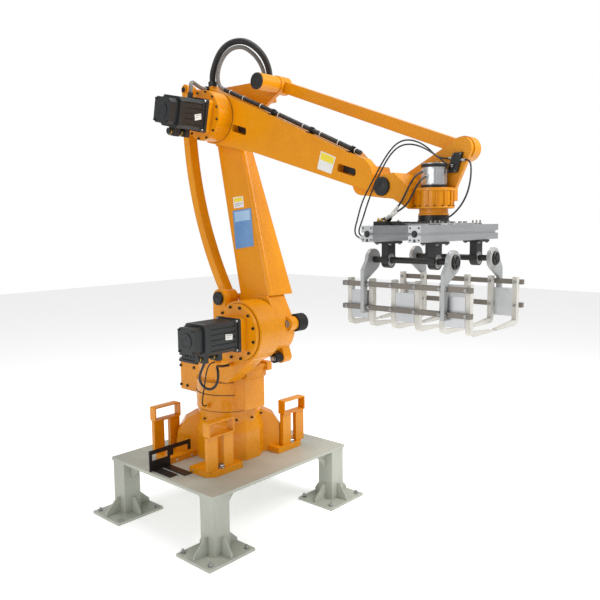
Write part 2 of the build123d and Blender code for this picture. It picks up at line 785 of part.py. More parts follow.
def waist_motor():
    motor = Rot(-90, 0, 0) * servo_motor(waist_motor_body_length)
    return Pos(waist_motor_x, 0, waist_motor_seat_z) * motor


def shoulder_motor():
    seat = shoulder_disc_y[0] - shoulder_face_depth - shoulder_adaptor_depth
    return Pos(shoulder_x, seat, shoulder_z) * servo_motor(shoulder_motor_body_length)


# Lower arm

def lower_arm():
    foot_x, head_x = (arm_foot_rear_x, arm_foot_front_x), (arm_head_rear_x, arm_head_front_x)
    foot = rectangle_at(foot_x, arm_foot_half_y, arm_box_foot_z, arm_edge_radius)
    head = rectangle_at(head_x, arm_head_half_y, arm_box_head_z, arm_edge_radius)
    body = loft([foot, head])
    neck = [(arm_foot_rear_x, arm_box_foot_z), (arm_neck_front_x, arm_box_foot_z),
            (shoulder_x + arm_drum_radius * cos(pi / 9), shoulder_z + arm_drum_radius * sin(pi / 9)),
            (shoulder_x, shoulder_z), (shoulder_x - arm_drum_radius, shoulder_z)]
    body += slab_y(neck, arm_drum_y)
    body += disc_y(shoulder, arm_drum_radius, arm_drum_y)
    shin = [(arm_head_rear_x, arm_box_head_z), (arm_head_front_x, arm_box_head_z),
            (elbow_x + arm_head_radius * cos(pi / 18), elbow_z + arm_head_radius * sin(-pi / 18)),
            (elbow_x, elbow_z), (elbow_x - arm_head_radius, elbow_z)]
    body += slab_y(shin, (-arm_head_half_y, arm_head_half_y))
    body += disc_y(elbow, arm_head_radius, arm_head_y)
    body += arm_bosses()
    head_y = link_plate_y[1] + pin_gap
    body += disc_y(elbow, link_hub_pin_radius, (arm_head_y[1], head_y))
    body += disc_y(elbow, link_hub_radius, (head_y, head_y + pin_head_height))
    return body


def arm_bosses():
    """The two bosses that hold the rubber buffers, joined to the drum."""
    upper = (arm_boss_x, arm_boss_z)
    lower = (arm_stop_x, arm_stop_z)
    shared_y = arm_boss_y
    bosses = disc_y(upper, arm_boss_radius, arm_boss_y)
    bosses += tangent_strip(shoulder, arm_boss_web, upper, arm_boss_radius, shared_y)
    bosses += disc_y(lower, arm_stop_radius, arm_stop_y)
    bosses += tangent_strip(shoulder, arm_boss_web, lower, arm_stop_radius, (arm_stop_y[0], arm_drum_y[1]))
    return bosses


def arm_buffers():
    """Black rubber buffers: a stepped one on the upper boss, a plain one on the lower."""
    upper = (arm_boss_x, arm_boss_z)
    lower = (arm_stop_x, arm_stop_z)
    far = arm_boss_y[1]
    knob = disc_y(upper, buffer_knob_radius, (far, far + buffer_knob_length))
    tip_y = far + buffer_knob_length
    tip = disc_y(upper, buffer_tip_radius, (tip_y, tip_y + buffer_tip_length))
    near = arm_stop_y[0]
    plain = disc_y(lower, buffer_radius, (near - buffer_length, near))
    return Compound(children=[knob + tip, plain])


# Rear link rod

def rear_rod():
    """A bowed flat rod between the ear of the column and the shaft of the link plate."""
    dx, dz = rear_high[0] - rear_low[0], rear_high[1] - rear_low[1]
    span = hypot(dx, dz)
    normal = (-dz / span, dx / span)
    middle = along(rear_low, rear_high, rod_bulge_share)
    bow = (middle[0] + normal[0] * rod_bulge, middle[1] + normal[1] * rod_bulge)
    edges = []
    for side in (-1, 1):
        shift = side * rod_width / 2
        ends = [(p[0] + normal[0] * shift, p[1] + normal[1] * shift) for p in (rear_low, bow, rear_high)]
        edges.append(ThreePointArc(*ends))
    caps = [Line(edges[0] @ 0, edges[1] @ 0), Line(edges[0] @ 1, edges[1] @ 1)]
    outline = make_face(Wire(edges + caps))
    low, high = rod_y
    plane = Plane(origin=(0, high, 0), x_dir=(1, 0, 0), z_dir=(0, -1, 0))
    rod = extrude(plane * outline, amount=high - low, dir=(0, -1, 0))
    rod += disc_y(rear_low, rod_foot_eye_radius, rod_y)
    rod += disc_y(rear_high, rod_head_eye_radius, rod_y)
    clear_y = (rod_y[0] - cut_overrun, rod_y[1] + cut_overrun)
    rod -= disc_y(rear_low, rear_pin_radius + pin_gap, clear_y)
    rod -= disc_y(rear_high, link_rear_shaft_radius + open_pivot_gap, clear_y)
    return rod


def rear_pin_cap():
    return disc_y(rear_low, rear_cap_radius, (ear_y[0] - rear_cap_height, ear_y[0]))


# Link plate

def link_plate():
    plate = tangent_strip(elbow, link_hub_radius, rear_high, link_rear_radius, link_plate_y)
    plate += tangent_strip(elbow, link_hub_radius, front_rear, link_front_radius, link_plate_y)
    plate += tangent_strip(rear_high, link_rear_radius, front_rear, link_rear_radius, link_plate_y)
    plate += slab_y([elbow, rear_high, front_rear], link_plate_y)
    plate += disc_y(elbow, link_hub_radius, (link_hub_inner_y, link_plate_y[0]))
    plate += disc_y(rear_high, link_rear_shaft_radius, (rod_y[0] - link_cap_height, link_plate_y[0]))
    plate += disc_y(front_rear, link_front_boss_radius, (link_front_boss_y, link_plate_y[0]))
    head_y = upper_rod_y[1] + pin_gap
    plate += disc_y(front_rear, link_front_pin_radius, (link_plate_y[1], head_y))
    plate += disc_y(front_rear, rod_pin_head_radius, (head_y, head_y + pin_head_height))
    shelf_x, shelf_z = [elbow_x + dx for dx in hose_shelf_dx], [elbow_z + dz for dz in hose_shelf_dz]
    plate += block(shelf_x, (link_plate_y[0], link_plate_y[1] + hose_shelf_reach), shelf_z)
    clear_y = (link_hub_inner_y - cut_overrun, link_plate_y[1] + cut_overrun)
    plate -= disc_y(elbow, link_hub_pin_radius + pin_gap, clear_y)
    return plate


def link_pin_cap():
    """The black cap on the near boss of the link plate."""
    return disc_y(front_rear, link_cap_radius, (link_front_boss_y - link_cap_height, link_front_boss_y))


# Upper arm

def upper_outline():
    nose = [stepped(wrist_pivot, step) for step in nose_steps]
    return [upper_top_rear, upper_top_knee, upper_top_front, *nose,
            upper_bottom_front, upper_bottom_knee, upper_bottom_rear]


def upper_arm():
    outline = upper_outline()
    web = slab_y(outline, upper_web_y)
    web += disc_y(elbow, upper_lobe_radius, upper_web_y)
    box = slab_y(outline, upper_box_y)
    heading = atan2(wrist_z - elbow_z, wrist_x - elbow_x)
    behind = Pos(elbow_x, 0, elbow_z) * Rot(0, -degrees(heading), 0) * block(
        (-upper_box_start, upper_box_start), (upper_web_y[1], upper_box_y[1] + cut_overrun),
        (-upper_box_start, upper_box_start))
    box -= behind
    nose_cut = [stepped(wrist_pivot, step) for step in nose_cut_steps]
    box -= slab_y(nose_cut, (upper_web_y[1], upper_box_y[1] + cut_overrun))
    arm = web + box
    arm += disc_y(elbow, upper_hub_radius, (upper_web_y[1], arm_head_y[0] - turning_gap))
    shoulder_line = wrist_x + (bottom_front_step[0] + nose_steps[0][0]) / 2
    tongue_start = (shoulder_line - upper_tongue_radius, wrist_z + upper_tongue_radius * sin(-heading))
    arm += tangent_strip(tongue_start, upper_tongue_radius, wrist_pivot, upper_tongue_radius, upper_tongue_y)
    pin_y = (upper_tongue_y[0] - cut_overrun, upper_tongue_y[1] + cut_overrun)
    arm -= disc_y(wrist_pivot, wrist_pin_radius + pin_gap, pin_y)
    slot_y = (upper_web_y[0] - cut_overrun, upper_web_y[0] + upper_slot_depth)
    for pivot, steps in ((elbow, slot_rear_steps), (wrist_pivot, slot_front_steps)):
        arm -= slab_y([stepped(pivot, step) for step in steps], slot_y, upper_slot_corner)
    arm += elbow_adaptor()
    arm += block([elbow_x + dx for dx in hose_seat_dx], hose_seat_y, [elbow_z + dz for dz in hose_seat_dz])
    return arm


def elbow_adaptor():
    """The round and square seat of the elbow motor."""
    seat = disc_y(elbow, elbow_disc_radius, elbow_disc_y)
    half = elbow_adaptor_width / 2
    square = block((-half, half), elbow_adaptor_y, (-half, half))
    square = fillet(square.edges().filter_by(Axis.Y), motor_corner)
    return seat + Pos(elbow_x, 0, elbow_z) * Rot(0, elbow_motor_turn, 0) * square


def elbow_motor():
    motor = servo_motor(elbow_motor_body_length)
    top = motor_body_width / 2
    motor += disc_z((motor_gland_offset, -motor_gland_depth), motor_gland_radius,
                    (top - motor_fin_depth, top + motor_gland_height))
    return Pos(elbow_x, elbow_adaptor_y[0], elbow_z) * Rot(0, elbow_motor_turn, 0) * motor


def motor_gland_point(rise):
    """A point on the axis of the elbow motor's gland, at a height above the gland."""
    turn = radians(elbow_motor_turn)
    height = motor_body_width / 2 + motor_gland_height + rise
    return (elbow_x + motor_gland_offset * cos(turn) + height * sin(turn),
            elbow_adaptor_y[0] - motor_gland_depth,
            elbow_z - motor_gland_offset * sin(turn) + height * cos(turn))


def shoulder_plug_point(reach):
    """A point on the axis of the shoulder motor's inner plug, at a distance from its tip."""
    seat = shoulder_disc_y[0] - shoulder_face_depth - shoulder_adaptor_depth
    y_mid = seat - motor_flange_depth - motor_socket_shares[0] * shoulder_motor_body_length
    return (shoulder_x - motor_socket_width / 6,
            y_mid - motor_socket_width / 4 - motor_plug_length / 2 - reach,
            shoulder_z - (motor_body_width + motor_socket_height) / 2)


def arm_conduit():
    """The conduit along the top of the upper arm."""
    lift = conduit_radius + conduit_gap
    points = []
    for start, end, shares in ((upper_top_rear, upper_top_knee, (conduit_start_share, 1.0)),
                               (upper_top_knee, upper_top_front, (conduit_end_share,))):
        dx, dz = end[0] - start[0], end[1] - start[1]
        span = hypot(dx, dz)
        for share in shares:
            x, z = along(start, end, share)
            points.append((x - dz / span * lift, conduit_y, z + dx / span * lift))
    path = FilletPolyline(*points, radius=5 * conduit_radius)
    section = Plane(origin=path @ 0, z_dir=path % 0) * Circle(conduit_radius)
    return sweep(section, path=path)


def conduit_point(share):
    """A point of the conduit's rear run, at a share of the arm's rear top edge."""
    lift = conduit_radius + conduit_gap
    dx, dz = upper_top_knee[0] - upper_top_rear[0], upper_top_knee[1] - upper_top_rear[1]
    span = hypot(dx, dz)
    x, z = along(upper_top_rear, upper_top_knee, share)
    return x - dz / span * lift, conduit_y, z + dx / span * lift


def conduit_clamps():
    """Clips that hold the conduit down on the arm."""
    dx = upper_top_front[0] - upper_top_knee[0]
    dz = upper_top_front[1] - upper_top_knee[1]
    tilt = -degrees(atan2(dz, dx))
    outer = conduit_radius + turning_gap + clamp_thickness
    inner = conduit_radius + turning_gap
    centre_lift = conduit_radius + conduit_gap
    clamps = []
    for share in clamp_shares:
        x, z = along(upper_top_knee, upper_top_front, share)
        half = clamp_width / 2
        ring = Cylinder(outer, clamp_width, rotation=(0, 90, 0))
        ring -= Cylinder(inner, clamp_width + cut_overrun, rotation=(0, 90, 0))
        tab_z = (-centre_lift, -centre_lift + clamp_thickness)
        tab = block((-half, half), (-2 * outer, 2 * outer), tab_z)
        tab -= Cylinder(inner, clamp_width + cut_overrun, rotation=(0, 90, 0))
        lifted = Pos(0, 0, centre_lift) * (ring + tab)
        clamps.append(Pos(x, conduit_y, z) * Rot(0, tilt, 0) * lifted)
    return Compound(children=clamps)


# Upper link rod

def upper_rod():
    half = upper_rod_thickness / 2
    rod = tangent_strip(front_rear, half, front_fore, half, upper_rod_y)
    rod += disc_y(front_rear, upper_rod_eye_radius, upper_rod_y)
    rod += disc_y(front_fore, rod_front_eye_radius, upper_rod_y)
    clear_y = (upper_rod_y[0] - cut_overrun, upper_rod_y[1] + cut_overrun)
    rod -= disc_y(front_rear, link_front_pin_radius + pin_gap, clear_y)
    rod -= disc_y(front_fore, wrist_plate_pin_radius + open_pivot_gap, clear_y)
    return rod


# Wrist

def wrist_body():
    section = polygon_at(reducer_bottom_z, reducer_radius, reducer_facets)
    housing = Pos(flange_x, 0, 0) * extrude(section, amount=reducer_top_z - reducer_bottom_z)
    body = housing + wrist_yoke() + wrist_plate()
    body += disc_y(wrist_pivot, wrist_pin_radius, (yoke_near_y[0], yoke_far_y[1]))
    return body


def wrist_yoke():
    """Two cheeks about the wrist pin, closed to a box in front of the arm's tongue."""
    top = wrist_z + yoke_half_height
    root_x = flange_x - reducer_radius * yoke_root_share
    cheek = [(wrist_x, wrist_z - yoke_eye_radius), (wrist_x, wrist_z + yoke_eye_radius),
             (wrist_x + yoke_clear_radius, top), (root_x, reducer_top_z),
             (root_x, reducer_bottom_z), (wrist_x + yoke_clear_radius, wrist_z - yoke_half_height)]
    parts = []
    for y_span in (yoke_near_y, yoke_far_y):
        parts.append(slab_y(cheek, y_span) + disc_y(wrist_pivot, yoke_eye_radius, y_span))
    core = slab_y(cheek, (yoke_near_y[0], yoke_far_y[1]))
    clear_y = (yoke_near_y[0] - cut_overrun, yoke_far_y[1] + cut_overrun)
    core -= disc_y(wrist_pivot, yoke_clear_radius, clear_y)
    return core + parts[0] + parts[1]


def wrist_plate():
    """The upright plate from the yoke to the upper link rod's front pin."""
    eye_x, eye_z = front_fore
    radius = wrist_plate_top_radius
    outline = [wrist_pivot, (wrist_x, wrist_z + wrist_plate_heel),
               (eye_x - radius * cos(pi / 4), eye_z + radius * sin(pi / 4)),
               (eye_x + radius * cos(pi / 9), eye_z - radius * sin(pi / 9)),
               (wrist_plate_front_x, reducer_top_z), (wrist_plate_front_x, reducer_top_z - yoke_half_height)]
    plate = slab_y(outline, wrist_plate_y)
    plate += disc_y(front_fore, radius, wrist_plate_y)
    head_y = upper_rod_y[1] + pin_gap
    plate += disc_y(front_fore, wrist_plate_pin_radius, (wrist_plate_y[1], head_y))
    plate += disc_y(front_fore, rod_pin_head_radius, (head_y, head_y + pin_head_height))
    foot = block((flange_x - reducer_radius / 2, wrist_plate_front_x), (0, wrist_plate_y[1]),
                 (reducer_top_z - yoke_half_height, reducer_top_z))
    return plate + foot


def wrist_cap():
    """The black cap on the wrist pin."""
    return disc_y(wrist_pivot, wrist_cap_radius, (yoke_near_y[0] - wrist_cap_height, yoke_near_y[0]))


def wrist_motor():
    cap_low = wrist_motor_top_z - wrist_motor_cap_height
    can = disc_z((flange_x, 0), wrist_motor_radius, (reducer_top_z, cap_low))
    cap = disc_z((flange_x, 0), wrist_motor_radius + wrist_motor_cap_lip, (cap_low, wrist_motor_top_z))
    motor = can + cap
    for route in (lead_rear_route, lead_front_route):
        motor += entry(route[1], route[0], wrist_motor_radius, gland_radius)
    return motor


def junction_box():
    y_span = (wrist_plate_y[0] - junction_box_depth, wrist_plate_y[0])
    low_z, high_z = junction_box_z
    rear_x, front_x = junction_box_x
    outline = [(rear_x, low_z), (front_x, low_z),
               (front_x + junction_box_lean, high_z), (rear_x + junction_box_lean, high_z)]
    box = slab_y(outline, y_span)
    for route in (wrist_cable_long_route, wrist_cable_short_route, tool_loop_route):
        box += entry(route[1], route[0], box_gland_reach, gland_radius)
    return box


def rod_from(start, way, length, radius):
    """A round bar from a point, along a direction."""
    plane = Plane(origin=start, z_dir=way)
    return extrude(plane * Circle(radius), amount=length, dir=way)


def entry(before, end, reach, radius):
    """A gland that carries on from the end of a cord, in line with it."""
    start = Vector(*end)
    return rod_from(start, (start - Vector(*before)).normalized(), reach, radius)


# Cords

def cord(name, points, diameter):
    """A cord: straight runs joined by arcs as large as the runs allow. Prints its length and its radii."""
    spots = [Vector(*point) for point in points]
    radii = []
    for before, corner, after in zip(spots, spots[1:], spots[2:]):
        run = min((corner - before).length, (after - corner).length)
        turn = (corner - before).get_angle(after - corner)
        radii.append(cord_arc_share * run / tan(radians(turn) / 2))
    path = FilletPolyline(*points, radius=radii)
    section = Plane(origin=path @ 0, z_dir=path % 0) * Circle(diameter / 2)
    tube = sweep(section, path=path)
    share = tube.volume / (pi * diameter ** 2 / 4 * path.length)
    print(name, "length", round(path.length), "volume share", round(share, 3),
          "least radius", round(min(radii)))
    return tube


def hose_nut(end, radius):
    """The upright nut that a hose leaves."""
    x, y, z = end
    return disc_z((x, y), radius, (z - hose_nut_height, z))


def arm_hose_nuts():
    """On the upper arm: the nut of the black hose and the gland of the motor's sleeve."""
    x, y, z = motor_sleeve_route[0]
    gland = disc_y((x, z), sleeve_nut_radius, (y, hose_seat_y[0]))
    return Compound(children=[hose_nut(elbow_hose_route[0], hose_nut_radius), gland])


def link_hose_nuts():
    """On the link plate's shelf: the nuts of the black hose and of the sleeve."""
    return Compound(children=[hose_nut(elbow_hose_route[-1], hose_nut_radius),
                              hose_nut(elbow_sleeve_route[-1], sleeve_nut_radius)])


def plug_line(route):
    """Where a lead's plug starts and the way that it points."""
    before, start = Vector(*route[-2]), Vector(*route[-1])
    return start, (start - before).normalized()


def lead_plugs():
    plugs = []
    for route in (lead_rear_route, lead_front_route):
        start, way = plug_line(route)
        plugs.append(rod_from(start, way, plug_length, plug_radius))
    return Compound(children=plugs)


def column_glands(body):
    """The column with the glands of the shoulder's cable and of the cable that drops to the drum."""
    for run in (shoulder_cable_route[-2:], drop_cable_route[1::-1], drop_cable_route[-2:]):
        body += entry(*run, entry_gland_reach, entry_gland_radius)
    return body


def save_cords():
    sleeve_start = [conduit_point(conduit_start_share), conduit_point(sleeve_turn_share)]
    motor_end = [motor_gland_point(motor_gland_run), motor_gland_point(0)]
    shoulder_start = [shoulder_plug_point(0), shoulder_plug_point(shoulder_plug_run)]
    routes = (
        ("elbow_hose", elbow_hose_route, elbow_hose_diameter),
        ("elbow_sleeve", sleeve_start + elbow_sleeve_route, sleeve_diameter),
        ("motor_sleeve", motor_sleeve_route + motor_end, motor_sleeve_diameter),
        ("wrist_cable_long", wrist_cable_long_route, wrist_cable_diameter),
        ("wrist_cable_short", wrist_cable_short_route, wrist_cable_diameter),
        ("tool_loop_cable", tool_loop_route, loop_cable_diameter),
        ("lead_rear", lead_rear_route, lead_diameter),
        ("lead_front", lead_front_route, lead_diameter),
        ("shoulder_cable", shoulder_start + shoulder_cable_route, shoulder_cable_diameter),
        ("drop_cable", drop_cable_route, drop_cable_diameter),
    )
    for name, points, diameter in routes:
        save(name, cord(name, points, diameter))


# Tool flange and gripper frame

def tool_flange():
    top = reducer_bottom_z - turning_gap
    flange = disc_z((flange_x, 0), flange_radius, (flange_bottom_z, top))
    return flange


def tool_adapter():
    return disc_z((flange_x, 0), adapter_radius, (adapter_bottom_z, flange_bottom_z))


def grip_plate():
    plate = block((flange_x - grip_plate_half_x, flange_x + grip_plate_half_x),
                  (-grip_plate_half_y, grip_plate_half_y),
                  (adapter_bottom_z - grip_plate_thickness, adapter_bottom_z))
    return fillet(plate.edges().filter_by(Axis.Z), grip_plate_thickness)


def grip_beam(side):
    """A slotted aluminium beam along Y."""
    middle = flange_x + side * beam_offset_x
    half = beam_width / 2
    top = beam_bottom_z + beam_height
    y_span = (-beam_half_length, beam_half_length)
    beam = block((middle - half, middle + half), y_span, (beam_bottom_z, top))
    clear_y = (y_span[0] - cut_overrun, y_span[1] + cut_overrun)
    slot_half = beam_slot_width / 2
    centre_z = (beam_bottom_z + top) / 2
    for way in (-1, 1):
        x_span = sorted((middle + way * (half - beam_slot_depth), middle + way * (half + cut_overrun)))
        beam -= block(x_span, clear_y, (centre_z - slot_half, centre_z + slot_half))
    slot_z = (beam_bottom_z - cut_overrun, beam_bottom_z + beam_slot_depth)
    beam -= block((middle - slot_half, middle + slot_half), clear_y, slot_z)
    if side < 0:
        for route in (wrist_cable_long_route, wrist_cable_short_route):
            beam += entry(*route[-2:], beam_gland_reach, gland_radius)
    return beam


def bearing_hangers(side):
    """Black bearing blocks under both beams for one jaw's shaft."""
    y = side * shaft_offset_y
    blocks = []
    for way in (-1, 1):
        middle = flange_x + way * beam_offset_x
        plate = block((middle - hanger_plate_half_x, middle + hanger_plate_half_x),
                      (y - hanger_plate_half_y, y + hanger_plate_half_y),
                      (beam_bottom_z - hanger_plate_z, beam_bottom_z))
        x_span = (middle - hanger_eye_width / 2, middle + hanger_eye_width / 2)
        web = block(x_span, (y - hanger_web_half, y + hanger_web_half),
                    (shaft_z, beam_bottom_z - hanger_plate_z))
        eye = disc_x((y, shaft_z), hanger_eye_radius, x_span)
        hanger = plate + web + eye
        clear_x = (x_span[0] - cut_overrun, x_span[1] + cut_overrun)
        hanger -= disc_x((y, shaft_z), shaft_radius + pin_gap, clear_x)
        blocks.append(hanger)
    return Compound(children=blocks)


def valve_block():
    top = beam_bottom_z + beam_height
    valve = block(valve_x, valve_y, (top, top + valve_height))
    for route in (lead_rear_route, lead_front_route):
        start, way = plug_line(route)
        valve += rod_from(start + way * plug_length, way, plug_stub_depth, plug_stub_radius)
    return valve + entry(*tool_loop_route[-2:], plug_stub_depth + plug_stub_radius, gland_radius)


# Jaws

def jaw_shaft(side):
    """The shaft, its crank and the black hubs at its ends."""
    y = side * shaft_offset_y
    ends = (flange_x - shaft_ends_x - swing_hub_height, flange_x + shaft_ends_x + swing_hub_height)
    shaft = disc_x((y, shaft_z), shaft_radius, ends)
    for way in (-1, 1):
        outer = flange_x + way * shaft_ends_x
        x_span = sorted((outer, outer + way * swing_hub_height))
        shaft += disc_x((y, shaft_z), swing_hub_radius, x_span)
    return shaft


def swing_arms(side):
    """The two arms that carry one jaw, from the shaft down to the lower bar."""
    y = side * shaft_offset_y
    inner = side * (jaw_plane_y - swing_arm_width / 2 + bar_width / 2)
    outer = side * (jaw_plane_y + swing_arm_width / 2 + bar_width / 2)
    arms = []
    for way in (-1, 1):
        middle = flange_x + way * arm_offset_x
        x_span = (middle - swing_arm_thickness / 2, middle + swing_arm_thickness / 2)
        top = shaft_z - swing_elbow_drop
        points = [(y - side * swing_disc_radius * cos(pi / 3), shaft_z - swing_disc_radius * sin(pi / 3)),
                  (y, shaft_z), (y + side * swing_disc_radius, shaft_z),
                  (outer, top), (outer, swing_arm_foot_z), (inner, swing_arm_foot_z),
                  (inner, top - swing_elbow_drop)]
        arm = slab_x(points, x_span)
        arm += disc_x((y, shaft_z), swing_disc_radius, x_span)
        arm -= disc_x((y, shaft_z), shaft_radius, (x_span[0] - cut_overrun, x_span[1] + cut_overrun))
        for z in (bar_upper_z, bar_lower_z):
            arm -= bar(side, z)
        arms.append(arm)
    return Compound(children=arms)


def bar(side, z):
    half = bar_width / 2
    y = side * jaw_plane_y
    x_span = (flange_x - bar_half_length, flange_x + bar_half_length)
    return block(x_span, (y - half, y + half), (z - half, z + half))


def jaw_bars(side):
    return Compound(children=[bar(side, bar_upper_z), bar(side, bar_lower_z)])


def jaw_fingers(side):
    """Six L-shaped fingers inside the bars, their feet tapering to a point."""
    back = jaw_plane_y - bar_width / 2
    front = back - finger_depth_y
    tip = back - finger_reach
    foot_top = finger_bottom_z + finger_foot_thickness
    points = [(back, finger_top_z), (back, finger_bottom_z), (tip, finger_bottom_z),
              (tip, finger_bottom_z + finger_tip_thickness), (front, foot_top), (front, finger_top_z)]
    fingers = []
    for share in finger_shares:
        middle = flange_x + share * finger_spacing
        x_span = (middle - finger_width_x / 2, middle + finger_width_x / 2)
        finger = slab_x([(side * u, w) for u, w in points], x_span)
        heel = finger.edges().filter_by(Axis.X).sort_by_distance((middle, side * back, finger_bottom_z))[0]
        fingers.append(fillet(heel, finger_bend_radius))
    return Compound(children=fingers)


def press_plates(side):
    """Thin plates between the fingers that the bag rests against."""
    back = side * (jaw_plane_y - bar_width / 2)
    y_span = sorted((back, back - side * press_plate_thickness))
    plates = []
    for share in press_plate_shares:
        middle = flange_x + share * finger_spacing
        x_span = (middle - press_plate_width / 2, middle + press_plate_width / 2)
        plates.append(block(x_span, y_span, press_plate_z))
    return Compound(children=plates)


def build_all():
    os.makedirs("parts", exist_ok=True)
    save("table_plate", table_plate())
    for name_x, side_x in (("front", 1), ("rear", -1)):
        for name_y, side_y in (("near", -1), ("far", 1)):
            save("leg_" + name_x + "_" + name_y, leg(side_x, side_y))
            save("fork_pocket_" + name_x + "_" + name_y, fork_pocket(side_x, side_y))
    save("base_casting", base_casting())
    save("cable_bracket", cable_bracket())
    save("column", column_glands(column()))
    save("waist_motor", waist_motor())
    save("shoulder_motor", shoulder_motor())
    save("rear_pin_cap", rear_pin_cap())
    save("lower_arm", lower_arm())
    save("arm_buffers", arm_buffers())
    save("rear_rod", rear_rod())
    save("link_plate", link_plate())
    save("link_pin_cap", link_pin_cap())
    save("upper_arm", upper_arm())
    save("elbow_motor", elbow_motor())
    save("arm_conduit", arm_conduit())
    save("conduit_clamps", conduit_clamps())
    save("upper_rod", upper_rod())
    save("wrist_body", wrist_body())
    save("wrist_cap", wrist_cap())
    save("wrist_motor", wrist_motor())
    save("junction_box", junction_box())
    save("tool_flange", tool_flange())
    save("tool_adapter", tool_adapter())
    save("grip_plate", grip_plate())
    save("grip_beam_front", grip_beam(1))
    save("grip_beam_rear", grip_beam(-1))
    save("valve_block", valve_block())
    save("lead_plugs", lead_plugs())
    save("arm_hose_nuts", arm_hose_nuts())
    save("link_hose_nuts", link_hose_nuts())
    save_cords()
    for name, side in (("near", -1), ("far", 1)):
        save(name + "_hangers", bearing_hangers(side))
        save(name + "_shaft", jaw_shaft(side))
        save(name + "_swing_arms", swing_arms(side))
        save(name + "_bars", jaw_bars(side))
        save(name + "_fingers", jaw_fingers(side))
        save(name + "_press_plates", press_plates(side))


build_all()
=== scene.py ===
"""Dressed model of a palletising robot arm with a bag gripper on a welded table.

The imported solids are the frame. This script gives them procedural finishes and
adds what is too fine for them: screws, seams, hoses, cable glands and labels.
All lengths are metres, and +Z is up.
"""

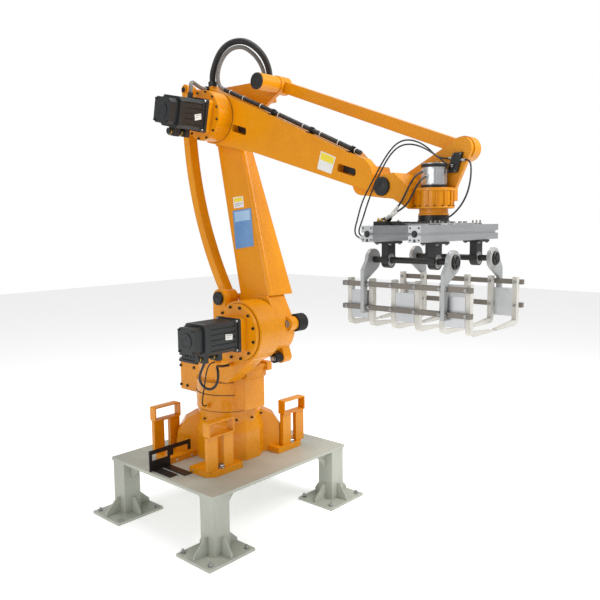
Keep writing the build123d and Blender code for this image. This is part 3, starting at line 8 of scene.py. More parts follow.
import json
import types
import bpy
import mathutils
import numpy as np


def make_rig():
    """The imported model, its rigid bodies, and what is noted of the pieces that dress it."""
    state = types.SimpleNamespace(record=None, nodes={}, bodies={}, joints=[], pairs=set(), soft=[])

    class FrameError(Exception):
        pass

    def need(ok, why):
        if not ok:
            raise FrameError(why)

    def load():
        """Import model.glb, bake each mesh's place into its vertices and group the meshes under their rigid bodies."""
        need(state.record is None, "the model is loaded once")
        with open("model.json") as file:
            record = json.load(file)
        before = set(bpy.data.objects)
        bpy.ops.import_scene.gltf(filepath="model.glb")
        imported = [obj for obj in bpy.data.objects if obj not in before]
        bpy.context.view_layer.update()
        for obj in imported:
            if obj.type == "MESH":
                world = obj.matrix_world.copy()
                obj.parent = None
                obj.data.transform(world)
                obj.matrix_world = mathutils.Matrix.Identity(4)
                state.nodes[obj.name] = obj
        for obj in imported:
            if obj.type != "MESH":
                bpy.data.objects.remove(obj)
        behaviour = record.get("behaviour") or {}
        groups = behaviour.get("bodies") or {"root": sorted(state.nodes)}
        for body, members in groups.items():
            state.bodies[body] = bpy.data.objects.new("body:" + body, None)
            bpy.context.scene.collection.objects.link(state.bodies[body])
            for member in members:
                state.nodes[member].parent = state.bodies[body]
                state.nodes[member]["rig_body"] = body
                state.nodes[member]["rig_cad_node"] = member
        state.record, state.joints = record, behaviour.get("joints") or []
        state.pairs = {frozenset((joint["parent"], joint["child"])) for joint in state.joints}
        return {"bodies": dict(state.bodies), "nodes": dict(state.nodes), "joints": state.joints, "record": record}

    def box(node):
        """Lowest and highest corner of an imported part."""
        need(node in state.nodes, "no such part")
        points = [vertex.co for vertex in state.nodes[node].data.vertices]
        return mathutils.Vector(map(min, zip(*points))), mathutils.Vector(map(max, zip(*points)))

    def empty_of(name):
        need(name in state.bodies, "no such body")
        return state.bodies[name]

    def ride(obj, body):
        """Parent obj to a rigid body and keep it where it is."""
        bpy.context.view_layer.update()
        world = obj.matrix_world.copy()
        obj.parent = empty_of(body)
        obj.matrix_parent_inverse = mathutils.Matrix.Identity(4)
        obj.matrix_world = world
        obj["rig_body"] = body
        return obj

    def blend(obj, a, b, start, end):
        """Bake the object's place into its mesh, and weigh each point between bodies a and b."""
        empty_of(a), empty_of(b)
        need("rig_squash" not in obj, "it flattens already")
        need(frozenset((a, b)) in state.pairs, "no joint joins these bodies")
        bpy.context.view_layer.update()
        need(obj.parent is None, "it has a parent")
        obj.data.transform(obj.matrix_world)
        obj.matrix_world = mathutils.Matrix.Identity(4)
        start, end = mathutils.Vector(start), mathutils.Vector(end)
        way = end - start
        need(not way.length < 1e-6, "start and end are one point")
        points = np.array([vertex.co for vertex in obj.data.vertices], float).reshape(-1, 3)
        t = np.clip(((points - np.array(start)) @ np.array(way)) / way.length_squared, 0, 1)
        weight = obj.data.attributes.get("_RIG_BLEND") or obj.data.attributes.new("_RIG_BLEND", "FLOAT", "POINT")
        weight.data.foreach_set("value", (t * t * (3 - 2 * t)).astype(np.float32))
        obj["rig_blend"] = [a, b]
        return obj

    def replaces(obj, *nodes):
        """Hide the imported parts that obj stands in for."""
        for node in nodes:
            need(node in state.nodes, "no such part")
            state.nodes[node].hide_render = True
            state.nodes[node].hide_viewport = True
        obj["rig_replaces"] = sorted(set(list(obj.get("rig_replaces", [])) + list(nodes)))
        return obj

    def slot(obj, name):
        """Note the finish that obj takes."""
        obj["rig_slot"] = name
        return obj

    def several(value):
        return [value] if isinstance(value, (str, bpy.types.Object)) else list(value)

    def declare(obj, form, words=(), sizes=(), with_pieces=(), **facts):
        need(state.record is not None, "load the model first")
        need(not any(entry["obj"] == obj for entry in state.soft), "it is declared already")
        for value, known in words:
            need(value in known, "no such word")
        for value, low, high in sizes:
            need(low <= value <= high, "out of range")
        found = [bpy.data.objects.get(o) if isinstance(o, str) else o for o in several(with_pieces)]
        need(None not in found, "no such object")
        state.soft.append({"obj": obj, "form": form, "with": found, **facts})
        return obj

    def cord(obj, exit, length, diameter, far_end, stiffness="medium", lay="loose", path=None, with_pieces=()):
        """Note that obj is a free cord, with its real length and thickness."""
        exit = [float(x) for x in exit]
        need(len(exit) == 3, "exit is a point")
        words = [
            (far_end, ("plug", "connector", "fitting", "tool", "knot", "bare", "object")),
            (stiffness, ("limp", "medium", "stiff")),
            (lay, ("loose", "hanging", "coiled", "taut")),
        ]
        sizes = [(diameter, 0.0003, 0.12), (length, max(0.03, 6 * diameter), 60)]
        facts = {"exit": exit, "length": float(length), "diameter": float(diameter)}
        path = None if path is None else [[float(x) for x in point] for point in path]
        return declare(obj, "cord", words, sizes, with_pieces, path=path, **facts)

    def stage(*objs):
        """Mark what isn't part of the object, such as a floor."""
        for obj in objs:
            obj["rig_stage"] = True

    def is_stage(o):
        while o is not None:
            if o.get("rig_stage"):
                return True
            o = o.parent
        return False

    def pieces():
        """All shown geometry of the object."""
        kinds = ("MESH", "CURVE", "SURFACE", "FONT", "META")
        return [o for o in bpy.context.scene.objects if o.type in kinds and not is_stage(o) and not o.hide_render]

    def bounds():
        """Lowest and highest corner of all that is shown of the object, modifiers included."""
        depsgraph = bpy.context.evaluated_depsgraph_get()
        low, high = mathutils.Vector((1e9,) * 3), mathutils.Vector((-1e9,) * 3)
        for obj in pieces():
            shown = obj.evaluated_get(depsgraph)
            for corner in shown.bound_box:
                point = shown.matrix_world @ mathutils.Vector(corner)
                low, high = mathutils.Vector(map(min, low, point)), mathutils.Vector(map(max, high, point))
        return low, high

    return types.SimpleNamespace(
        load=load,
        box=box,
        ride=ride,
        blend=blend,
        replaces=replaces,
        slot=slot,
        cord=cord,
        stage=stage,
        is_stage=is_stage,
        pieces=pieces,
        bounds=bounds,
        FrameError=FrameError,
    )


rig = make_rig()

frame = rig.load()

import json
import logging
from dataclasses import dataclass, field
from enum import Enum
from math import cos, pi, radians, sin, tau
from typing import Callable, Iterable, Optional, Sequence

import bmesh
import bpy
from mathutils import Matrix, Vector
from mathutils.bvhtree import BVHTree

logging.basicConfig(level=logging.INFO, format="%(message)s")
log = logging.getLogger("robot_arm")

Point = Sequence[float]
Colour = tuple[float, float, float]
CAD_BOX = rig.bounds()
UP: Point = (0, 0, 1)
DOWN: Point = (0, 0, -1)
NEAR: Point = (0, -1, 0)
FAR: Point = (0, 1, 0)
FORE: Point = (1, 0, 0)
SIDES = (-1, 1)


# Colour and finish

def linear(red: int, green: int, blue: int) -> Colour:
    """Turns an 8-bit display colour into linear light.

    Args:
        red: red, 0 to 255.
        green: green, 0 to 255.
        blue: blue, 0 to 255.

    Returns:
        The same colour in linear light.
    """
    def one(value: int) -> float:
        """One channel in linear light."""
        share = value / 255
        return share / 12.92 if share <= 0.04045 else ((share + 0.055) / 1.055) ** 2.4

    return one(red), one(green), one(blue)


def put(node: bpy.types.Node, values: dict[str, object]) -> None:
    """Sets a shader node's inputs.

    Args:
        node: the node.
        values: the value of each input.
    """
    for name, value in values.items():
        node.inputs[name].default_value = value


class Grain(Enum):
    """The kind of fine relief on a surface."""

    ORANGE_PEEL = "orange_peel"
    CAST = "cast"
    BRUSHED = "brushed"
    MOULDED = "moulded"


@dataclass(frozen=True)
class Finish:
    """What one surface looks like.

    Args:
        name: the material's name.
        colour: the main colour in linear light.
        shade: the colour of its darker or dirtier patches.
        metallic: 0 for paint and plastic, 1 for bare metal.
        roughness: the middle roughness.
        spread: how far the roughness varies about the middle.
        grain: the kind of relief.
        grain_size: the relief's size in metres.
        relief: the height of the relief in metres.
        coat: the weight of a clear coat.
        patches: how much of the darker colour shows, 0 to 1.
        dust: how much pale dust lies on upward faces.
        rounding: the radius in metres of the softened edges.
        specular: the specular level.
    """

    name: str
    colour: Colour
    shade: Colour
    metallic: float = 0.0
    roughness: float = 0.4
    spread: float = 0.08
    grain: Grain = Grain.ORANGE_PEEL
    grain_size: float = 0.004
    relief: float = 0.0001
    coat: float = 0.0
    patches: float = 0.25
    dust: float = 0.0
    rounding: float = 0.0015
    specular: float = 0.5


class NodeGroups:
    """Shared shader effects, each one a node group that puts out values, colours or normals."""

    def __init__(self) -> None:
        """Builds the groups."""
        self.tone = self._tone()
        self.relief = {grain: self._relief(grain) for grain in Grain}

    @staticmethod
    def _socket(group: bpy.types.NodeTree, name: str, way: str, default: Optional[float] = None) -> None:
        """Adds a number socket to a group.

        Args:
            group: the group.
            name: the socket's name.
            way: INPUT or OUTPUT.
            default: its value where nothing is linked to it.
        """
        socket = group.interface.new_socket(name=name, in_out=way, socket_type="NodeSocketFloat")
        if default is not None:
            socket.default_value = default

    def _tone(self) -> bpy.types.NodeTree:
        """Patches of two sizes, and a mask of upward faces.

        Returns:
            The node group. It puts out a patch mask, a fine mask and a dust mask.
        """
        group = bpy.data.node_groups.new("tone_masks", "ShaderNodeTree")
        self._socket(group, "Scale", "INPUT", 3.0)
        self._socket(group, "Patches", "OUTPUT")
        self._socket(group, "Fine", "OUTPUT")
        self._socket(group, "Dust", "OUTPUT")
        nodes, links = group.nodes, group.links
        entry = nodes.new("NodeGroupInput")
        leave = nodes.new("NodeGroupOutput")
        place = nodes.new("ShaderNodeTexCoord")
        broad = nodes.new("ShaderNodeTexNoise")
        put(broad, {"Detail": 6.0, "Roughness": 0.62})
        links.new(place.outputs["Object"], broad.inputs["Vector"])
        links.new(entry.outputs["Scale"], broad.inputs["Scale"])
        ramp = nodes.new("ShaderNodeValToRGB")
        ramp.color_ramp.elements[0].position = 0.44
        ramp.color_ramp.elements[1].position = 0.66
        links.new(broad.outputs["Fac"], ramp.inputs["Fac"])
        links.new(ramp.outputs["Color"], leave.inputs["Patches"])
        fine = nodes.new("ShaderNodeTexNoise")
        put(fine, {"Scale": 55.0, "Detail": 8.0, "Roughness": 0.7})
        links.new(place.outputs["Object"], fine.inputs["Vector"])
        links.new(fine.outputs["Fac"], leave.inputs["Fine"])
        face = nodes.new("ShaderNodeNewGeometry")
        split = nodes.new("ShaderNodeSeparateXYZ")
        links.new(face.outputs["Normal"], split.inputs["Vector"])
        up = nodes.new("ShaderNodeMapRange")
        put(up, {"From Min": 0.55, "From Max": 1.0})
        links.new(split.outputs["Z"], up.inputs["Value"])
        lay = nodes.new("ShaderNodeMath")
        lay.operation = "MULTIPLY"
        links.new(up.outputs["Result"], lay.inputs[0])
        links.new(fine.outputs["Fac"], lay.inputs[1])
        links.new(lay.outputs["Value"], leave.inputs["Dust"])
        return group

    def _relief(self, grain: Grain) -> bpy.types.NodeTree:
        """A height field for one kind of surface.

        Args:
            grain: the kind of relief.

        Returns:
            The node group. It puts out a height.
        """
        group = bpy.data.node_groups.new("relief_" + grain.value, "ShaderNodeTree")
        self._socket(group, "Size", "INPUT", 0.004)
        self._socket(group, "Height", "OUTPUT")
        nodes, links = group.nodes, group.links
        entry = nodes.new("NodeGroupInput")
        leave = nodes.new("NodeGroupOutput")
        place = nodes.new("ShaderNodeTexCoord")
        inverse = nodes.new("ShaderNodeMath")
        inverse.operation = "DIVIDE"
        inverse.inputs[0].default_value = 1.0
        links.new(entry.outputs["Size"], inverse.inputs[1])
        vector = place.outputs["Object"]
        if grain is Grain.BRUSHED:
            stretch = nodes.new("ShaderNodeMapping")
            put(stretch, {"Scale": (1.0, 0.03, 1.0)})
            links.new(vector, stretch.inputs["Vector"])
            vector = stretch.outputs["Vector"]
        noise = nodes.new("ShaderNodeTexNoise")
        detail = {Grain.ORANGE_PEEL: 2.0, Grain.CAST: 6.0, Grain.BRUSHED: 4.0, Grain.MOULDED: 3.0}[grain]
        put(noise, {"Detail": detail, "Roughness": 0.55})
        links.new(vector, noise.inputs["Vector"])
        links.new(inverse.outputs["Value"], noise.inputs["Scale"])
        height = noise.outputs["Fac"]
        if grain in (Grain.CAST, Grain.ORANGE_PEEL):
            swell = nodes.new("ShaderNodeTexNoise")
            put(swell, {"Scale": 26.0 if grain is Grain.ORANGE_PEEL else 60.0, "Detail": 1.5})
            links.new(place.outputs["Object"], swell.inputs["Vector"])
            heavy = nodes.new("ShaderNodeMath")
            heavy.operation = "MULTIPLY_ADD"
            heavy.inputs[1].default_value = 2.2
            links.new(swell.outputs["Fac"], heavy.inputs[0])
            links.new(height, heavy.inputs[2])
            height = heavy.outputs["Value"]
        links.new(height, leave.inputs["Height"])
        return group


class Palette:
    """Makes the materials once, from their finishes."""

    COAT_ROUGHNESS = 0.12
    PATCH_SCALE = 3.0
    DUST_COLOUR: Colour = (0.42, 0.40, 0.37)
    FINE_RANGE = (0.3, 0.7)
    LEAST_ROUGHNESS = 0.03

    def __init__(self, groups: NodeGroups) -> None:
        """Keeps the shared groups."""
        self.groups = groups
        self.made: dict[str, bpy.types.Material] = {}

    def get(self, finish: Finish) -> bpy.types.Material:
        """Finds or makes a material.

        Args:
            finish: what it looks like.

        Returns:
            The material.
        """
        if finish.name not in self.made:
            self.made[finish.name] = self._make(finish)
        return self.made[finish.name]

    def _make(self, finish: Finish) -> bpy.types.Material:
        """Makes a material.

        Args:
            finish: what it looks like.

        Returns:
            The material.
        """
        material = bpy.data.materials.new(finish.name)
        material.use_nodes = True
        nodes, links = material.node_tree.nodes, material.node_tree.links
        nodes.clear()
        leave = nodes.new("ShaderNodeOutputMaterial")
        shader = nodes.new("ShaderNodeBsdfPrincipled")
        links.new(shader.outputs["BSDF"], leave.inputs["Surface"])
        put(shader, {"Metallic": finish.metallic, "Specular IOR Level": finish.specular,
                     "Coat Weight": finish.coat, "Coat Roughness": self.COAT_ROUGHNESS})
        tone = nodes.new("ShaderNodeGroup")
        tone.node_tree = self.groups.tone
        put(tone, {"Scale": self.PATCH_SCALE})
        amount = nodes.new("ShaderNodeMath")
        amount.operation = "MULTIPLY"
        amount.inputs[1].default_value = finish.patches
        links.new(tone.outputs["Patches"], amount.inputs[0])
        blend = nodes.new("ShaderNodeMix")
        blend.data_type = "RGBA"
        put(blend, {"A": (*finish.colour, 1.0), "B": (*finish.shade, 1.0)})
        links.new(amount.outputs["Value"], blend.inputs["Factor"])
        colour = blend.outputs["Result"]
        if finish.dust > 0:
            veil = nodes.new("ShaderNodeMath")
            veil.operation = "MULTIPLY"
            veil.inputs[1].default_value = finish.dust
            links.new(tone.outputs["Dust"], veil.inputs[0])
            dusty = nodes.new("ShaderNodeMix")
            dusty.data_type = "RGBA"
            put(dusty, {"B": (*self.DUST_COLOUR, 1.0)})
            links.new(veil.outputs["Value"], dusty.inputs["Factor"])
            links.new(colour, dusty.inputs["A"])
            colour = dusty.outputs["Result"]
        links.new(colour, shader.inputs["Base Color"])
        rough = nodes.new("ShaderNodeMapRange")
        put(rough, {"From Min": self.FINE_RANGE[0], "From Max": self.FINE_RANGE[1],
                    "To Min": max(self.LEAST_ROUGHNESS, finish.roughness - finish.spread),
                    "To Max": min(1.0, finish.roughness + finish.spread)})
        links.new(tone.outputs["Fine"], rough.inputs["Value"])
        links.new(rough.outputs["Result"], shader.inputs["Roughness"])
        relief = nodes.new("ShaderNodeGroup")
        relief.node_tree = self.groups.relief[finish.grain]
        put(relief, {"Size": finish.grain_size})
        bump = nodes.new("ShaderNodeBump")
        put(bump, {"Distance": finish.relief, "Strength": 1.0})
        links.new(relief.outputs["Height"], bump.inputs["Height"])
        if finish.rounding > 0:
            edge = nodes.new("ShaderNodeBevel")
            edge.samples = 4
            put(edge, {"Radius": finish.rounding})
            links.new(edge.outputs["Normal"], bump.inputs["Normal"])
        links.new(bump.outputs["Normal"], shader.inputs["Normal"])
        return material


YELLOW = Finish(
    "machine_yellow", linear(226, 146, 2), linear(204, 120, 0), roughness=0.30, spread=0.09,
    grain=Grain.CAST, grain_size=0.006, relief=0.0008, coat=0.22, patches=0.4, rounding=0.004, specular=0.3)
TABLE_GREY = Finish(
    "table_paint", linear(178, 181, 169), linear(152, 154, 144), roughness=0.42, spread=0.12,
    grain_size=0.003, relief=0.00015, patches=0.55, dust=0.05, rounding=0.002)
MOTOR_BLACK = Finish(
    "motor_black", linear(34, 37, 38), linear(22, 24, 26), roughness=0.38, spread=0.09, grain=Grain.CAST,
    grain_size=0.002, relief=0.00012, patches=0.5, rounding=0.002)
SATIN_BLACK = Finish(
    "satin_black", linear(26, 26, 27), linear(38, 37, 36), roughness=0.36, spread=0.1, grain_size=0.002,
    relief=0.0001, patches=0.4, rounding=0.0015)
PLASTIC_BLACK = Finish(
    "plastic_black", linear(22, 22, 24), linear(34, 33, 33), roughness=0.48, spread=0.07,
    grain=Grain.MOULDED, grain_size=0.0012, relief=0.00006, patches=0.3, rounding=0.0015)
RUBBER = Finish(
    "rubber", linear(24, 24, 24), linear(40, 39, 37), roughness=0.72, spread=0.12, grain=Grain.MOULDED,
    grain_size=0.0015, relief=0.0001, patches=0.4, specular=0.35, rounding=0.003)
ALUMINIUM = Finish(
    "aluminium", linear(206, 208, 210), linear(186, 188, 190), metallic=1.0, roughness=0.34, spread=0.07,
    grain=Grain.BRUSHED, grain_size=0.002, relief=0.00005, patches=0.4, rounding=0.001)
BARE_STEEL = Finish(
    "bare_steel", linear(168, 168, 168), linear(126, 124, 120), metallic=1.0, roughness=0.3, spread=0.1,
    grain=Grain.BRUSHED, grain_size=0.0015, relief=0.00004, patches=0.5, rounding=0.001)
DARK_STEEL = Finish(
    "dark_steel", linear(62, 61, 60), linear(42, 41, 40), metallic=0.9, roughness=0.38, spread=0.1,
    grain=Grain.BRUSHED, grain_size=0.0015, relief=0.00004, patches=0.5, rounding=0.001)
CAST_GREY = Finish(
    "cast_grey", linear(176, 178, 178), linear(150, 151, 151), metallic=0.35, roughness=0.42, spread=0.1,
    grain=Grain.CAST, grain_size=0.0025, relief=0.0003, patches=0.4, rounding=0.003)
BAR_GREY = Finish(
    "bar_grey", linear(128, 122, 114), linear(96, 90, 84), metallic=0.5, roughness=0.4, spread=0.1,
    grain_size=0.002, relief=0.0001, patches=0.5, rounding=0.0015)
FINGER_WHITE = Finish(
    "finger_paint", linear(206, 204, 196), linear(184, 181, 172), roughness=0.36, spread=0.1,
    grain_size=0.002, relief=0.0001, patches=0.4, rounding=0.0015)
HOSE_BLACK = Finish(
    "hose_black", linear(26, 26, 27), linear(44, 43, 42), roughness=0.42, spread=0.1, grain=Grain.MOULDED,
    grain_size=0.002, relief=0.00008, patches=0.4, rounding=0.0)
CABLE_BLACK = Finish(
    "cable_black", linear(22, 22, 23), linear(40, 39, 38), roughness=0.45, spread=0.1, grain=Grain.MOULDED,
    grain_size=0.0015, relief=0.00004, patches=0.4, rounding=0.0)
BRAID_GREY = Finish(
    "braid_grey", linear(120, 116, 112), linear(70, 68, 66), roughness=0.6, spread=0.1, grain=Grain.MOULDED,
    grain_size=0.003, relief=0.0005, patches=0.6, rounding=0.0)
TIE_WHITE = Finish(
    "tie_white", linear(222, 222, 216), linear(200, 198, 190), roughness=0.4, rounding=0.0)
LABEL_WHITE = Finish(
    "label_white", linear(228, 228, 224), linear(206, 206, 200), roughness=0.34, rounding=0.0)
LABEL_YELLOW = Finish(
    "label_yellow", linear(236, 214, 66), linear(220, 196, 50), roughness=0.34, rounding=0.0)
LABEL_BLUE = Finish(
    "label_blue", linear(96, 140, 190), linear(120, 160, 204), roughness=0.3, patches=0.8, rounding=0.0)
LABEL_SKY = Finish(
    "label_sky", linear(150, 186, 220), linear(190, 210, 230), roughness=0.3, patches=0.9, rounding=0.0)
LABEL_GREY = Finish(
    "label_grey", linear(176, 176, 172), linear(150, 150, 146), roughness=0.36, rounding=0.0)
PLUG_WHITE = Finish(
    "plug_white", linear(214, 214, 208), linear(188, 187, 180), roughness=0.38, spread=0.08,
    grain=Grain.MOULDED, grain_size=0.0012, relief=0.00004, rounding=0.0006)
BRASS = Finish(
    "brass", linear(202, 170, 92), linear(160, 128, 66), metallic=1.0, roughness=0.3, patches=0.5,
    rounding=0.0005)

NODE_FINISHES: dict[str, Finish] = {
    "machine_yellow": YELLOW,
    "table_paint": TABLE_GREY,
    "black_motor": MOTOR_BLACK,
    "aluminium": ALUMINIUM,
    "dark_steel": DARK_STEEL,
    "rubber": RUBBER,
    "bare_steel": BARE_STEEL,
    "jaw_steel": FINGER_WHITE,
    "plastic_black": PLASTIC_BLACK,
    "black_paint": SATIN_BLACK,
    "conduit_grey": HOSE_BLACK,
    "hose_black": HOSE_BLACK,
    "sleeve_grey": BRAID_GREY,
    "cable_black": CABLE_BLACK,
}
NODE_OVERRIDES: dict[str, Finish] = {
    "near_bars": BAR_GREY, "far_bars": BAR_GREY,
    "near_swing_arms": CAST_GREY, "far_swing_arms": CAST_GREY,
    "near_shaft": DARK_STEEL, "far_shaft": DARK_STEEL,
    "wrist_motor": ALUMINIUM,
    "near_press_plates": ALUMINIUM, "far_press_plates": ALUMINIUM,
}


# Mesh helpers

def frame_at(origin: Point, axis: Point, side: Point = (0.0, 0.0, 1.0)) -> Matrix:
    """A local frame whose +Z is an axis.

    Args:
        origin: where it is.
        axis: the way its +Z points.
        side: roughly the way its +X points.

    Returns:
        The matrix from that frame to the row frame.
    """
    third = Vector(axis).normalized()
    first = Vector(side) - third * third.dot(Vector(side))
    if first.length < 1e-6:
        first = third.orthogonal()
    first.normalize()
    second = third.cross(first)
    matrix = Matrix((first, second, third)).transposed().to_4x4()
    matrix.translation = Vector(origin)
    return matrix


def hexagon(radius: float) -> list[Point]:
    """The corners of a hexagon, anticlockwise, from the radius through them."""
    return [(radius * cos(tau * i / 6), radius * sin(tau * i / 6)) for i in range(6)]


class Builder:
    """Collects faces in several materials and turns them into one piece."""

    def __init__(self, palette: Palette) -> None:
        """Starts with no faces."""
        self.mesh = bmesh.new()
        self.palette = palette
        self.finishes: list[Finish] = []

    def _index(self, finish: Finish) -> int:
        """The place of a finish among the piece's materials, added where it is new."""
        if finish not in self.finishes:
            self.finishes.append(finish)
        return self.finishes.index(finish)

    def face(self, points: Iterable[Vector], finish: Finish) -> None:
        """Adds one face.

        Args:
            points: its corners, anticlockwise from outside.
            finish: its finish.
        """
        made = self.mesh.faces.new([self.mesh.verts.new(p) for p in points])
        made.material_index = self._index(finish)

    def revolve(self, profile: Sequence[Point], place: Matrix, finish: Finish, steps: int = 32) -> None:
        """Turns a profile of (radius, height) pairs about local Z.

        Args:
            profile: the pairs, from one end to the other.
            place: the local frame.
            finish: the finish of its faces.
            steps: how many steps go round.
        """
        index = self._index(finish)
        rings: list[list[bmesh.types.BMVert]] = []
        for radius, height in profile:
            if radius < 1e-7:
                rings.append([self.mesh.verts.new(place @ Vector((0, 0, height)))])
            else:
                rings.append([self.mesh.verts.new(place @ Vector((radius * cos(tau * i / steps),
                                                                  radius * sin(tau * i / steps), height)))
                              for i in range(steps)])
        for low, high in zip(rings, rings[1:]):
            for i in range(steps):
                j = (i + 1) % steps
                if len(low) == 1 and len(high) == 1:
                    continue
                if len(low) == 1:
                    corners = [low[0], high[j], high[i]]
                elif len(high) == 1:
                    corners = [low[i], low[j], high[0]]
                else:
                    corners = [low[i], low[j], high[j], high[i]]
                self.mesh.faces.new(corners).material_index = index

    def prism(self, outline: Sequence[Point], low: float, high: float, place: Matrix, finish: Finish,
              chamfer: float = 0.0) -> None:
        """A straight prism with a chamfered top.

        Args:
            outline: the corners (x, y), anticlockwise.
            low: the height of its foot.
            high: the height of its top.
            place: the local frame.
            finish: the finish of its faces.
            chamfer: the width of the chamfer round the top.
        """
        index = self._index(finish)
        centre = Vector((sum(p[0] for p in outline), sum(p[1] for p in outline))) / len(outline)
        layers = [(1.0, low), (1.0, high - chamfer)]
        span = max((Vector(p) - centre).length for p in outline)
        if chamfer > 0:
            layers.append(((span - chamfer) / span, high))
        rings = []
        for share, height in layers:
            ring = []
            for p in outline:
                flat = centre + (Vector(p) - centre) * share
                ring.append(self.mesh.verts.new(place @ Vector((flat.x, flat.y, height))))
            rings.append(ring)
        count = len(outline)
        for lower, upper in zip(rings, rings[1:]):
            for i in range(count):
                j = (i + 1) % count
                self.mesh.faces.new([lower[i], lower[j], upper[j], upper[i]]).material_index = index
        self.mesh.faces.new(rings[-1]).material_index = index
        self.mesh.faces.new(list(reversed(rings[0]))).material_index = index

    def box(self, size: Point, place: Matrix, finish: Finish, chamfer: float = 0.0) -> None:
        """A box that stands on the local origin, centred in local X and Y.

        Args:
            size: its width, depth and height.
            place: the local frame.
            finish: the finish of its faces.
            chamfer: the width of the chamfer round the top.
        """
        x, y = size[0] / 2, size[1] / 2
        self.prism([(-x, -y), (x, -y), (x, y), (-x, y)], 0.0, size[2], place, finish, chamfer)

    def tube(self, path: Sequence[Vector], radius: Callable[[int], float], finish: Finish,
             steps: int = 12) -> None:
        """A round tube with closed ends along a line of points.

        Args:
            path: the points of its line.
            radius: gives the radius at the point with a number.
            finish: the finish of its faces.
            steps: how many steps go round.
        """
        index = self._index(finish)
        count = len(path)
        normal: Optional[Vector] = None
        rings = []
        for i, point in enumerate(path):
            ahead = path[min(i + 1, count - 1)] - path[max(i - 1, 0)]
            ahead.normalize()
            if normal is None:
                normal = ahead.orthogonal().normalized()
            normal = (normal - ahead * normal.dot(ahead)).normalized()
            other = ahead.cross(normal)
            r = radius(i)
            rings.append([self.mesh.verts.new(point + normal * (r * cos(tau * k / steps))
                                              + other * (r * sin(tau * k / steps))) for k in range(steps)])
        for low, high in zip(rings, rings[1:]):
            for k in range(steps):
                m = (k + 1) % steps
                self.mesh.faces.new([low[k], low[m], high[m], high[k]]).material_index = index
        self.mesh.faces.new(list(reversed(rings[0]))).material_index = index
        self.mesh.faces.new(rings[-1]).material_index = index

    def bolt(self, place: Matrix, size: float, finish: Finish = BARE_STEEL) -> None:
        """A hexagon bolt head with a washer; the local origin is on the clamped face.

        Args:
            place: the local frame, +Z away from the face.
            size: the thread's diameter.
            finish: the finish of the head and the washer.
        """
        rise = size * 0.16
        self.revolve([(0, 0), (size, 0), (size, rise * 0.75), (size * 0.94, rise), (0, rise)],
                     place, finish, 20)
        half_flats = size * 0.84
        self.prism(hexagon(half_flats / cos(pi / 6)), rise, rise + size * 0.64, place, finish, size * 0.1)

    def socket_screw(self, place: Matrix, size: float, finish: Finish = DARK_STEEL) -> None:
        """A socket head cap screw; the local origin is on the clamped face.

        Args:
            place: the local frame, +Z away from the face.
            size: the thread's diameter.
            finish: the head's finish.
        """
        head = size * 0.78
        rim = head * 0.9
        socket = size * 0.42
        depth = size * 0.45
        self.revolve([(head, 0), (head, size * 0.85), (rim, size), (socket, size),
                      (socket * 0.98, size - depth), (0, size - depth)], place, finish, 18)

    def finish_piece(self, name: str, body: str, smooth_angle: float = 35.0) -> bpy.types.Object:
        """Makes the object, sets its materials and lets it ride on a body.

        Args:
            name: the piece's name.
            body: the body that it rides on.
            smooth_angle: edges sharper than this, in degrees, stay sharp.

        Returns:
            The object.
        """
        obj = self.make(name, smooth_angle)
        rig.ride(obj, body)
        return obj

    def make(self, name: str, smooth_angle: float = 35.0) -> bpy.types.Object:
        """Makes the object and sets its materials.

        Args:
            name: the piece's name.
            smooth_angle: edges sharper than this, in degrees, stay sharp.

        Returns:
            The object.
        """
        bmesh.ops.recalc_face_normals(self.mesh, faces=self.mesh.faces)
        data = bpy.data.meshes.new(name)
        self.mesh.to_mesh(data)
        self.mesh.free()
        for finish in self.finishes:
            data.materials.append(self.palette.get(finish))
        data.polygons.foreach_set("use_smooth", [True] * len(data.polygons))
        data.set_sharp_from_angle(angle=radians(smooth_angle))
        obj = bpy.data.objects.new(name, data)
        bpy.context.scene.collection.objects.link(obj)
        return obj


# Dressing of the nodes

class NodeDresser:
    """Gives each visible CAD node its material."""

    def __init__(self, palette: Palette, record: dict, nodes: dict[str, bpy.types.Object]) -> None:
        """Reads each node's material slot.

        Args:
            palette: the materials.
            record: the part's record.
            nodes: the nodes' objects.
        """
        self.palette = palette
        self.slots = {p["node"]: p["material_slot"] for p in record["subparts"]}
        self.nodes = nodes

    def dress(self) -> None:
        """Assigns the materials."""
        for name, obj in self.nodes.items():
            finish = NODE_OVERRIDES.get(name) or NODE_FINISHES[self.slots[name]]
            material = self.palette.get(finish)
            obj.data.materials.clear()
            obj.data.materials.append(material)


# The photograph's camera

